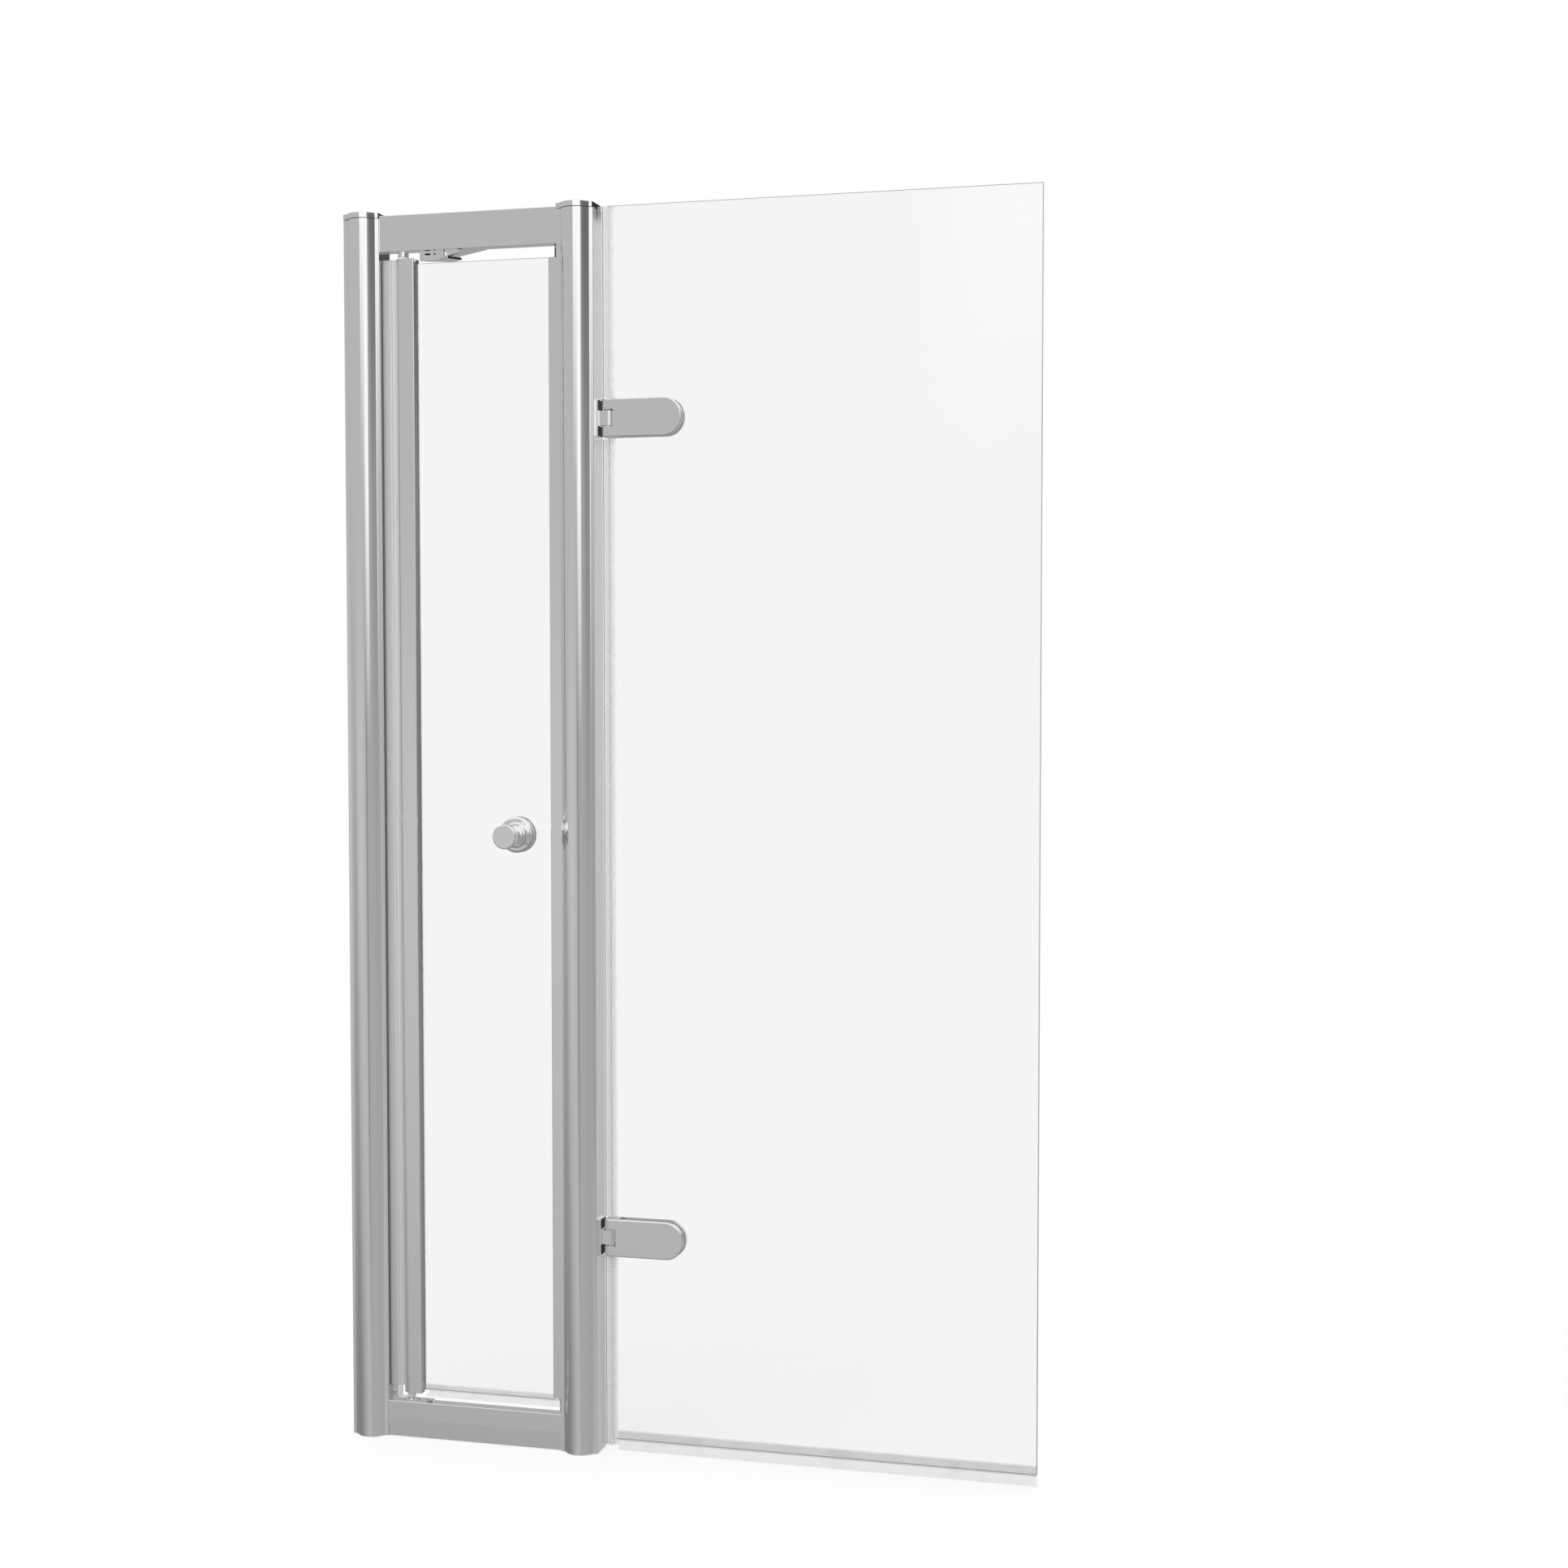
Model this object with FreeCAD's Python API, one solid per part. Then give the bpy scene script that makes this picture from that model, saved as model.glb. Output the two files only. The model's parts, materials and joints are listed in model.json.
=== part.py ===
import FreeCAD, Part
import math
import os

# Hinged bath screen with a narrow framed access door beside the wall and a wide glass panel.
# Millimetres. X runs from the wall along the screen, Y from the room side through the glass,
# Z up from the bath rim. Y = 0 is the middle of both glasses.

V = FreeCAD.Vector

# Whole screen
frame_height = 1500.0
screen_reach = 853.5
post_pitch = 274.0
glass_thickness = 6.0

# Clearances
run_gap = 0.3
fit_gap = 0.05
pin_gap = 0.05
slide_gap = 0.3

# Posts: one bulged section, open towards the wall
post_setout = 1.0
post_width = 46.0
post_half_depth = 16.4
post_wall = 1.6
post_corner = 0.8
flange_width = 4.6
flange_fall = 1.0
ogee_radius = 3.0
crest_radius = 19.5
least_radius = 0.2

# Post caps
cap_height = 6.6
cap_drop = 3.7
cap_edge = 0.4
cap_overhang = 0.4
cap_side_gap = 1.2
cap_gasket_thickness = 0.7
cap_gasket_inset = 0.4
cap_plug_depth = 12.0
cap_plug_margin = 8.0
cap_plug_gap = 0.25

# Channels that slide in the posts
tray_wall = 1.8
tray_top_gap = 18.0
wall_tray_reach = 26.0
strike_setback = 2.0
strike_tray_reach = 23.0
wall_hole_radius = 2.75
wall_hole_sink = 5.0
wall_hole_outer_drop = 100.0
wall_hole_inner_drop = 533.0

# Stop lip behind the free edge of the door
lip_reach = 12.5
lip_thickness = 2.0
strike_seal_thickness = 0.9
strike_seal_width = 6.0
strike_seal_start = 0.8

# Rails
rail_front = 14.0
rail_depth = 15.0
rail_height = 44.0
rail_wall = 1.5
rail_corner = 0.8
sill_fall = 0.8
port_offset = 12.0
port_radius = 3.3
port_rib = 1.4

# Screws
rail_screw_radius = 2.0
rail_screw_reach = 18.0
post_screw_radius = 1.9
post_screw_reach = 9.0
post_screw_inset = 13.0
post_screw_end = 200.0
pan_head_radius = 3.8
pan_head_height = 2.2
screw_cap_radius = 6.0
screw_cap_height = 4.0
screw_cap_wall = 1.4
socket_radius = 1.5
socket_depth = 1.6

# Pivot of the door
pivot_offset = 28.0
pivot_radius = 3.5
spigot_radius = 3.0
spigot_reach = 3.0
collar_radius = 6.5
collar_groove_depth = 0.6
collar_groove_width = 0.8
bush_flange = 2.0
foot_pin_radius = 4.3
foot_bush_radius = 5.2
foot_pin_height = 3.5
foot_plate_thickness = 2.0
foot_plate_reach = 28.0
foot_plate_corner = 2.0
foot_screw_radius = 1.4
foot_screw_reach = 7.0
foot_head_radius = 2.4
foot_head_height = 1.4
foot_screw_offsets = [8.5, 21.0]
plug_reach = 24.0

# Door
door_foot_gap = 11.0
door_head_gap = 8.5
glass_foot_gap = 3.0
glass_head_gap = 5.0
stile_left = 9.5
stile_right = 16.0
stile_front = 13.0
stile_back = 6.0
stile_wall = 1.6
stile_edge = 1.5
stile_back_step = 1.5
slot_depth = 9.5
gasket_side = 0.6
gasket_base = 1.0
gasket_proud = 0.6
plug_gap = 0.15
strike_width = 13.2
strike_half_depth = 6.0
strike_web = 1.8
strike_corner = 1.0
strike_gap = 2.8
strike_foot_gap = 3.0
strike_head_gap = 1.0

# Drip seals under the glasses
clip_wall = 1.2
fin_thickness = 1.0
door_clip_height = 6.0
door_fin_drop = 10.0
door_fin_cut = 6.0
door_fin_past_stile = 9.0
screen_clip_height = 10.0
screen_fin_drop = 14.0

# Knob
knob_inset = 56.8
knob_face = 49.0
knob_radius = 14.7
knob_head_length = 8.0
knob_head_edge = 1.6
knob_taper_length = 5.5
knob_edge = 1.0
knob_neck_radius = 10.2
knob_neck_length = 4.0
knob_ring_radius = 12.4
knob_stem_radius = 5.0
rose_radius = 21.9
rose_rise = 9.5
rose_rim = 6.2
rose_edge = 3.6
rose_boss = 13.6
rose_cove = 3.0
back_plate_thickness = 3.2
back_plate_edge = 1.2
washer_thickness = 0.6
washer_radius = 19.5
knob_hole_radius = 6.5
knob_screw_radius = 2.0
knob_screw_head = 3.9
knob_screw_reach = 16.0

# Seal between the wall post and the hinge stile, and the block at its foot
pivot_seal_plane = 5.5
pivot_seal_base = 1.2
pivot_seal_base_width = 7.0
pivot_seal_fin = 1.2
pivot_seal_bead_start = 9.8
pivot_seal_bead_length = 2.2
pivot_seal_bead = 2.8
pivot_seal_lip = 0.8
pivot_seal_reach = 16.6
block_height = 18.0
block_width = 14.0
block_toe = 20.5
block_toe_height = 4.0
block_front = 12.0
block_back = 1.0
block_window = 6.0

# Bracket behind the top rail, beside the pivot
bracket_offset = 19.0
bracket_flat = 22.0
bracket_tail = 56.0
bracket_length = 86.0
bracket_hang = 10.0
bracket_rise = 30.0
bracket_sheet = 2.0
bracket_cheek = 2.5
bracket_shelf = 35.0
bracket_shelf_thickness = 2.6
bracket_shelf_drop = 7.6
bracket_shelf_depth = 17.0
bracket_shelf_nose = 46.0
bracket_shelf_heel = 33.0
bracket_depth = 27.0
bracket_wing_corner = 39.0
bracket_wing_depth = 33.0
bracket_notch = 4.0
bracket_notch_height = 4.8
bracket_corner = 6.0
bracket_slot_start = 7.0
bracket_slot_length = 7.0
bracket_slot_height = 2.2
bracket_slot_drop = 2.6
bracket_hole_radius = 1.1
bracket_hole_start = 19.5
bracket_screw_radius = 1.9
bracket_screw_reach = 8.0
bracket_screw_starts = [14.0, 66.0]
bracket_screw_height = 22.0

# Swing panel
screen_edge_offset = 0.4
screen_foot = 16.0
screen_head_gap = 0.6

# Hinges
hinge_rise = 264.0
hinge_drop = 251.0
plate_thickness = 3.2
plate_half_depth = 10.0
plate_half_height = 22.5
plate_corner = 1.0
knuckle_half_height = 8.7
knuckle_half_depth = 6.8
hinge_pin_radius = 3.0
hinge_pin_half = 21.5
bush_radius = 4.5
bush_length = 7.0
thrust_radius = 5.6
thrust_thickness = 1.4
ear_radius = 10.0
ear_gap = 0.4
ear_face = 5.4
ear_reach = 10.4
leaf_length = 93.4
leaf_half_height = 22.75
leaf_half_depth = 10.0
leaf_edge = 1.6
leaf_notch_reach = 8.4
leaf_notch_half = 10.3
leaf_gasket = 0.6
leaf_gasket_margin = 1.0
leaf_screw_offsets = [35.4, 67.4]
leaf_screw_radius = 2.5
leaf_screw_head = 4.6
leaf_screw_reach = 17.5
glass_hole_radius = 6.0
cutout_reach = 11.0
cutout_half_height = 24.0
cutout_corner = 3.0
plate_screw_offset = 15.0
plate_screw_radius = 2.0
plate_screw_head = 3.8
plate_screw_reach = 9.5
backing_thickness = 3.0
backing_half_depth = 9.0
backing_half_height = 21.0

# Edge seal of the swing panel
edge_clip_reach = 7.7
edge_clip_side = 0.9
edge_web = 1.2
edge_bulb_length = 5.2
edge_bulb_half = 2.7
edge_bulb_wall = 0.8
edge_fin_half = 0.5
edge_fin_gap = 0.6
edge_foot = 8.0
edge_hinge_gap = 0.6

# Worked-out places
glass_half = glass_thickness / 2
post_top = frame_height - cap_drop
cap_foot = post_top + cap_gasket_thickness
cap_top = cap_foot + cap_height
wall_post_right = post_setout + post_width
hinge_post_left = post_setout + post_pitch
hinge_post_right = hinge_post_left + post_width
strike_face = hinge_post_left + strike_setback
tray_top = post_top - tray_top_gap
post_screw_heights = [post_screw_end, frame_height / 2, frame_height - post_screw_end]
rail_back = rail_depth - rail_front
rail_middle = rail_back - rail_depth / 2
top_rail_foot = frame_height - rail_height
pivot_x = wall_post_right + pivot_offset
pivot_y = rail_middle
door_foot = rail_height + door_foot_gap
door_head = top_rail_foot - door_head_gap
door_glass_foot = door_foot + glass_foot_gap
door_glass_head = door_head - glass_head_gap
strike_foot = door_glass_foot + strike_foot_gap
strike_head = door_glass_head - strike_head_gap
stile_edge_x = pivot_x + stile_right
bracket_left = pivot_x + bracket_offset
slot_half = glass_half + gasket_side
door_glass_left = stile_edge_x - slot_depth + gasket_base
strike_right = strike_face - strike_gap
strike_left = strike_right - strike_width
door_glass_right = strike_right - strike_web - gasket_base
knob_x = strike_right - knob_inset
knob_height = frame_height / 2
lip_front = strike_half_depth + run_gap + strike_seal_thickness
pivot_seal_foot = rail_height + block_height
foot_pin_top = rail_height + foot_plate_thickness + foot_pin_height
leaf_inner = glass_half + leaf_gasket
hinge_heights = [hinge_rise, frame_height - hinge_drop]
hinge_axis_x = hinge_post_right + plate_thickness + ear_radius + ear_gap
leaf_end = hinge_axis_x + leaf_length
leaf_screw_xs = [hinge_axis_x + offset for offset in leaf_screw_offsets]
screen_left = hinge_axis_x + screen_edge_offset
screen_head = frame_height - screen_head_gap

# Vectors and turns for bars and rods along each axis
AXES = {"x": V(1, 0, 0), "y": V(0, 1, 0), "z": V(0, 0, 1)}


def spot(axis, a, b, along):
    """Point at (a, b) across an axis and at a distance along it."""
    if axis == "x":
        return V(along, a, b)
    if axis == "y":
        return V(a, along, b)
    return V(a, b, along)


def rounded_wire(corners):
    """Closed outline through (a, b, radius) corners, each rounded by a tangent arc."""
    count = len(corners)
    marks = []
    for i in range(count):
        here = V(corners[i][0], corners[i][1], 0)
        after = corners[(i + 1) % count]
        back = V(corners[i - 1][0], corners[i - 1][1], 0) - here
        ahead = V(after[0], after[1], 0) - here
        back.normalize()
        ahead.normalize()
        radius = corners[i][2]
        half = back.getAngle(ahead) / 2
        reach = radius / math.tan(half)
        middle = here
        if radius > 0:
            middle = here + (back + ahead).normalize() * (radius / math.sin(half) - radius)
        marks.append((here + back * reach, middle, here + ahead * reach))
    edges = []
    for i in range(count):
        start, middle, end = marks[i]
        if corners[i][2] > 0:
            edges.append(Part.Arc(start, middle, end).toShape())
        edges.append(Part.makeLine(end, marks[(i + 1) % count][0]))
    return Part.Wire(edges)


def inset(path, depth, closed):
    """The path moved to its left by a depth; its corner radii follow."""
    count = len(path)
    moved = []
    for i in range(count):
        here = V(path[i][0], path[i][1], 0)
        after = path[(i + 1) % count]
        before = here - V(path[i - 1][0], path[i - 1][1], 0)
        ahead = V(after[0], after[1], 0) - here
        if not closed and i == 0:
            before = ahead
        if not closed and i == count - 1:
            ahead = before
        one = V(-before.y, before.x, 0).normalize()
        two = V(-ahead.y, ahead.x, 0).normalize()
        place = here + (one + two) * (depth / (1 + one.dot(two)))
        radius = path[i][2]
        if radius > 0:
            radius = max(radius - math.copysign(depth, before.cross(ahead).z), least_radius)
        moved.append((place.x, place.y, radius))
    return moved


def rectangle(a0, a1, b0, b1, radius):
    """Corners of a rectangle, all rounded alike."""
    return [(a0, b0, radius), (a1, b0, radius), (a1, b1, radius), (a0, b1, radius)]


def bar(axis, corners, start, end):
    """Outline extruded along an axis: corners are (y, z) along x, (x, z) along y, (x, y) along z."""
    solid = Part.Face(rounded_wire(corners)).extrude(V(0, 0, end - start))
    if axis == "x":
        solid.rotate(V(0, 0, 0), V(1, 1, 1), 120)
    if axis == "y":
        solid.rotate(V(0, 0, 0), V(1, 0, 0), 90)
        solid.translate(V(0, end - start, 0))
    solid.translate(AXES[axis] * start)
    return solid


def rod(axis, a, b, radius, start, end):
    """Round bar along an axis."""
    return Part.makeCylinder(radius, end - start, spot(axis, a, b, start), AXES[axis])


def block(x0, x1, y0, y1, z0, z1):
    """Plain box between two corners."""
    return Part.makeBox(x1 - x0, y1 - y0, z1 - z0, V(x0, y0, z0))


def turned(axis, a, b, corners):
    """Profile of (radius, along, rounding) corners spun about an axis through (a, b)."""
    solid = Part.Face(rounded_wire(corners)).revolve(V(0, 0, 0), V(0, 1, 0), 360)
    if axis == "z":
        solid.rotate(V(0, 0, 0), V(1, 0, 0), 90)
    solid.translate(spot(axis, a, b, 0))
    return solid


def pan_screw(axis, a, b, seat, side, radius, reach):
    """Screw with a flat round head on the seat; its shank runs to the given side."""
    tip = seat + side * reach
    crown = seat - side * pan_head_height
    shank = rod(axis, a, b, radius, min(seat, tip), max(seat, tip))
    head = rod(axis, a, b, pan_head_radius, min(seat, crown), max(seat, crown))
    floor = crown + side * socket_depth
    socket = rod(axis, a, b, socket_radius, min(crown, floor), max(crown, floor))
    return shank.fuse(head).cut(socket)


def sunk_screw(axis, a, b, face, side, radius, head, reach):
    """Screw with a conical head flush with the face; its shank runs to the given side."""
    tip = face + side * reach
    shank = rod(axis, a, b, radius, min(face, tip), max(face, tip))
    cone = Part.makeCone(head, radius, head - radius, spot(axis, a, b, face), AXES[axis] * side)
    floor = face + side * socket_depth
    socket = rod(axis, a, b, socket_radius, min(face, floor), max(face, floor))
    return shank.fuse(cone).cut(socket)


def sunk_hole(axis, a, b, face, side, radius, head, reach):
    """Room for a screw with a conical head, with the fit gap all round."""
    wide = head + fit_gap
    end = face + side * reach
    drill = rod(axis, a, b, radius + fit_gap, min(face, end), max(face, end))
    cone = Part.makeCone(wide, radius + fit_gap, head - radius, spot(axis, a, b, face), AXES[axis] * side)
    return drill.fuse(cone)


def rail_screw_heights(foot):
    """Heights of the two screw ports of a rail."""
    middle = foot + rail_height / 2
    return [middle - port_offset, middle + port_offset]


def all_rail_screw_heights():
    """Heights of the ports of both rails."""
    return rail_screw_heights(0) + rail_screw_heights(top_rail_foot)


def post_path(left):
    """Outside of the bulged section, from its front left tip round to its back left tip."""
    right = left + post_width
    front = -post_half_depth
    apex = front - (post_width / 2 - flange_width)
    return [
        (left, front, 0),
        (left + flange_width, front, ogee_radius),
        ((left + right) / 2, apex, crest_radius),
        (right - flange_width, front, ogee_radius),
        (right, front + flange_fall, post_corner),
        (right, post_half_depth, post_corner),
        (left, post_half_depth, 0),
    ]


def post(left):
    """Open extrusion with one even wall and the holes for the screws to its channel."""
    outside = post_path(left)
    inside = inset(outside, post_wall, False)
    body = bar("z", outside + inside[::-1], 0, post_top)
    for height in post_screw_heights:
        body = body.cut(rod("y", left + post_screw_inset, height, post_screw_radius + fit_gap,
                            0, post_half_depth))
    return body


def wall_post():
    """Post at the wall, drilled for the rails."""
    body = post(post_setout)
    for height in all_rail_screw_heights():
        body = body.cut(rod("x", rail_middle, height, rail_screw_radius + fit_gap,
                            wall_post_right - post_wall, wall_post_right))
    return body


def hinge_post():
    """Post that carries the swing panel, drilled for the hinge plates."""
    body = post(hinge_post_left)
    for height in hinge_heights:
        for offset in (-plate_screw_offset, plate_screw_offset):
            body = body.cut(rod("x", 0, height + offset, plate_screw_radius + fit_gap,
                                hinge_post_right - post_wall, hinge_post_right))
    return body


def cap_room(left):
    """Space of a cap: as deep as the post and short of its right face."""
    return block(left - post_width, left + post_width - cap_side_gap, -post_width, post_width,
                 0, cap_top)


def rail_end_room():
    """Space that a cap leaves for the end of the top rail."""
    return block(wall_post_right, strike_face + fit_gap, -rail_front - fit_gap, rail_back + fit_gap,
                 top_rail_foot, frame_height + fit_gap)


def cap_outline(left, margin):
    """Closed outline of the post's end, drawn in by a margin."""
    outline = [(x, y, radius or post_corner) for x, y, radius in post_path(left)]
    return inset(outline, margin, True)


def cap_plug(left):
    """Plug of a cap inside the post, clear of the rail screws."""
    plug = bar("z", cap_outline(left, post_wall + cap_plug_gap), post_top - cap_plug_depth, cap_foot)
    return plug.common(block(left + cap_plug_margin, left + post_width - cap_plug_margin,
                             -post_width, post_width, 0, cap_top))


def post_cap(left):
    """Cap on the post's end, a little proud of it at the front, back and wall side."""
    shoulder = cap_top - cap_edge
    low = rounded_wire(cap_outline(left, -cap_overhang))
    low.translate(V(0, 0, shoulder))
    high = rounded_wire(cap_outline(left, cap_edge - cap_overhang))
    high.translate(V(0, 0, cap_top))
    lid = bar("z", cap_outline(left, -cap_overhang), cap_foot, shoulder)
    lid = lid.fuse(Part.makeLoft([low, high], True, True)).common(cap_room(left))
    return lid.fuse(cap_plug(left)).removeSplitter()


def cap_gasket(left):
    """Dark soft sheet under a cap, a little behind the post's outside."""
    sheet = bar("z", cap_outline(left, cap_gasket_inset), post_top, cap_foot).common(cap_room(left))
    return sheet.cut(cap_plug(left))


def wall_post_cap():
    """Cap of the wall post."""
    return post_cap(post_setout)


def hinge_post_cap():
    """Cap of the hinge post, cut away round the end of the top rail."""
    return post_cap(hinge_post_left).cut(rail_end_room())


def wall_cap_gasket():
    """Sheet under the cap of the wall post."""
    return cap_gasket(post_setout)


def hinge_cap_gasket():
    """Sheet under the cap of the hinge post, cut away round the end of the top rail."""
    return cap_gasket(hinge_post_left).cut(rail_end_room())


def tray(left, reach, post_left):
    """Channel that slides in a post: a web at the left and two flanges to the right."""
    half = post_half_depth - post_wall - slide_gap
    inner = half - tray_wall
    right = left + reach
    outline = [
        (left, -half, post_corner),
        (right, -half, 0),
        (right, -inner, 0),
        (left + tray_wall, -inner, 0),
        (left + tray_wall, inner, 0),
        (right, inner, 0),
        (right, half, 0),
        (left, half, post_corner),
    ]
    body = bar("z", outline, 0, tray_top)
    for height in post_screw_heights:
        body = body.cut(rod("y", post_left + post_screw_inset, height, post_screw_radius + fit_gap, 0, half))
    return body


def wall_channel():
    """Channel screwed to the wall, with sunk holes for four wall screws."""
    body = tray(0, wall_tray_reach, post_setout)
    for drop in (wall_hole_outer_drop, wall_hole_inner_drop):
        for height in (drop, frame_height - drop):
            hole = rod("x", 0, height, wall_hole_radius, 0, tray_wall)
            sink = Part.makeCone(wall_hole_sink, wall_hole_radius, tray_wall / 2,
                                 V(tray_wall, 0, height), V(-1, 0, 0))
            body = body.cut(hole.fuse(sink))
    return body


def strike_profile():
    """Channel in the hinge post that holds the rails and carries the stop lip of the door."""
    body = tray(strike_face, strike_tray_reach, hinge_post_left)
    body = body.fuse(block(strike_face - lip_reach, strike_face, lip_front, lip_front + lip_thickness,
                           0, tray_top)).removeSplitter()
    for height in all_rail_screw_heights():
        body = body.cut(rod("x", rail_middle, height, rail_screw_radius + fit_gap,
                            strike_face, strike_face + tray_wall))
    return body


def strike_seal():
    """Soft strip on the stop lip."""
    left = strike_face - lip_reach + strike_seal_start
    outline = [
        (left, lip_front - strike_seal_thickness, strike_seal_thickness / 2),
        (left + strike_seal_width, lip_front - strike_seal_thickness, strike_seal_thickness / 2),
        (left + strike_seal_width, lip_front, 0),
        (left, lip_front, 0),
    ]
    return bar("z", outline, strike_foot, strike_head)


def rail(foot, fall):
    """Hollow rail with two screw ports on ribs; the lower half of its front leans back by the fall."""
    head = foot + rail_height
    outline = [
        (fall - rail_front, foot, rail_corner),
        (rail_back, foot, rail_corner),
        (rail_back, head, rail_corner),
        (-rail_front, head, rail_corner),
        (-rail_front, (foot + head) / 2, 0),
    ]
    body = bar("x", outline, wall_post_right, strike_face)
    body = body.cut(bar("x", inset(outline, rail_wall, True), wall_post_right, strike_face))
    for height in rail_screw_heights(foot):
        rib = block(wall_post_right, strike_face, rail_wall - rail_front, rail_back - rail_wall,
                    height - port_rib / 2, height + port_rib / 2)
        port = rod("x", rail_middle, height, port_radius, wall_post_right, strike_face)
        body = body.fuse(rib.fuse(port))
        body = body.cut(rod("x", rail_middle, height, rail_screw_radius + fit_gap,
                            wall_post_right, strike_face))
    return body


def bracket_screw_places():
    """Places of the bracket screws as (x, z)."""
    height = top_rail_foot + bracket_screw_height
    return [(bracket_left + start, height) for start in bracket_screw_starts]


def top_rail():
    """Upper rail, drilled below for the pivot and behind for the bracket."""
    body = rail(top_rail_foot, 0)
    body = body.cut(rod("z", pivot_x, pivot_y, spigot_radius + fit_gap,
                        top_rail_foot, top_rail_foot + rail_wall))
    for x, height in bracket_screw_places():
        body = body.cut(rod("y", x, height, bracket_screw_radius + fit_gap, rail_back - rail_wall, rail_back))
    return body


def bottom_rail():
    """Lower rail, drilled on top for the pivot and its plate."""
    body = rail(0, sill_fall)
    body = body.cut(rod("z", pivot_x, pivot_y, spigot_radius + fit_gap, rail_height - rail_wall, rail_height))
    for offset in foot_screw_offsets:
        body = body.cut(rod("z", pivot_x + offset, pivot_y, foot_screw_radius + fit_gap,
                            rail_height - rail_wall, rail_height))
    return body


def rail_screws():
    """Screws from inside the posts into the rail ports."""
    screws = []
    for height in all_rail_screw_heights():
        screws.append(pan_screw("x", rail_middle, height, wall_post_right - post_wall, 1,
                                rail_screw_radius, rail_screw_reach))
        screws.append(pan_screw("x", rail_middle, height, strike_face + tray_wall, -1,
                                rail_screw_radius, rail_screw_reach))
    return Part.makeCompound(screws)


def post_screw_places():
    """Places of the screws behind the posts as (x, z)."""
    lefts = (post_setout, hinge_post_left)
    return [(left + post_screw_inset, height) for left in lefts for height in post_screw_heights]


def post_screws():
    """Screws that hold the posts on their channels."""
    return Part.makeCompound([
        pan_screw("y", x, height, post_half_depth, -1, post_screw_radius, post_screw_reach)
        for x, height in post_screw_places()
    ])


def post_screw_caps():
    """Snap covers over the screw heads."""
    covers = []
    top = post_half_depth + screw_cap_height
    inner = screw_cap_radius - screw_cap_wall
    for x, height in post_screw_places():
        profile = [
            (inner, post_half_depth, 0),
            (screw_cap_radius, post_half_depth, 0),
            (screw_cap_radius, top, screw_cap_wall),
            (0, top, 0),
            (0, top - screw_cap_wall, 0),
            (inner, top - screw_cap_wall, 0),
        ]
        covers.append(turned("y", x, height, profile))
    return Part.makeCompound(covers)


def top_pivot_pin():
    """Pin under the top rail: spigot, grooved collar and running shank."""
    seat = door_head + bush_flange + run_gap
    groove = (seat + top_rail_foot) / 2
    waist = collar_radius - collar_groove_depth
    profile = [
        (0, door_head - plug_reach, 0),
        (pivot_radius, door_head - plug_reach, stile_edge),
        (pivot_radius, seat, 0),
        (collar_radius, seat, least_radius),
        (collar_radius, groove - collar_groove_width / 2, 0),
        (waist, groove - collar_groove_width / 2, 0),
        (waist, groove + collar_groove_width / 2, 0),
        (collar_radius, groove + collar_groove_width / 2, 0),
        (collar_radius, top_rail_foot, 0),
        (spigot_radius, top_rail_foot, 0),
        (spigot_radius, top_rail_foot + rail_wall + spigot_reach, 0),
        (0, top_rail_foot + rail_wall + spigot_reach, 0),
    ]
    return turned("z", pivot_x, pivot_y, profile)


def bottom_pivot_pin():
    """Pin on the bottom rail: spigot, shoulder that bears the door and running shank."""
    plate_top = rail_height + foot_plate_thickness
    profile = [
        (0, rail_height - rail_wall - spigot_reach, 0),
        (spigot_radius, rail_height - rail_wall - spigot_reach, 0),
        (spigot_radius, plate_top, 0),
        (foot_pin_radius, plate_top, 0),
        (foot_pin_radius, foot_pin_top, least_radius),
        (pivot_radius, foot_pin_top, 0),
        (pivot_radius, door_foot + plug_reach, stile_edge),
        (0, door_foot + plug_reach, 0),
    ]
    return turned("z", pivot_x, pivot_y, profile)


def bottom_pivot_plate():
    """Thin plate that holds the lower pin on the bottom rail."""
    left = pivot_x - collar_radius
    right = pivot_x + foot_plate_reach
    outline = [
        (left, -rail_front + rail_corner, foot_plate_corner),
        (right - collar_radius, -rail_front + rail_corner, foot_plate_corner),
        (right, rail_middle, foot_plate_corner),
        (right, rail_back - rail_corner, foot_plate_corner),
        (left, rail_back - rail_corner, foot_plate_corner),
    ]
    body = bar("z", outline, rail_height, rail_height + foot_plate_thickness)
    body = body.cut(rod("z", pivot_x, pivot_y, spigot_radius + fit_gap, 0, frame_height))
    for offset in foot_screw_offsets:
        body = body.cut(rod("z", pivot_x + offset, pivot_y, foot_screw_radius + fit_gap, 0, frame_height))
    return body


def foot_screws():
    """Small round-headed screws of the pivot plate."""
    seat = rail_height + foot_plate_thickness
    screws = []
    for offset in foot_screw_offsets:
        profile = [
            (0, seat - foot_screw_reach, 0),
            (foot_screw_radius, seat - foot_screw_reach, 0),
            (foot_screw_radius, seat, 0),
            (foot_head_radius, seat, 0),
            (foot_head_radius, seat + foot_head_height, foot_head_height / 2),
            (0, seat + foot_head_height, 0),
        ]
        screws.append(turned("z", pivot_x + offset, pivot_y, profile))
    return Part.makeCompound(screws)


def stile_chamber():
    """Corners of the hollow of the hinge stile."""
    left = pivot_x - stile_left + stile_wall
    right = stile_edge_x - stile_wall
    front = -stile_front + stile_wall
    back = stile_back - stile_wall
    step_x = stile_edge_x - slot_depth - stile_wall
    step_y = -slot_half - stile_wall
    bend = (back - front) / 2 - least_radius
    return [
        (left, front, bend),
        (right, front, least_radius),
        (right, step_y, least_radius),
        (step_x, step_y, least_radius),
        (step_x, back, least_radius),
        (left, back, bend),
    ]


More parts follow.
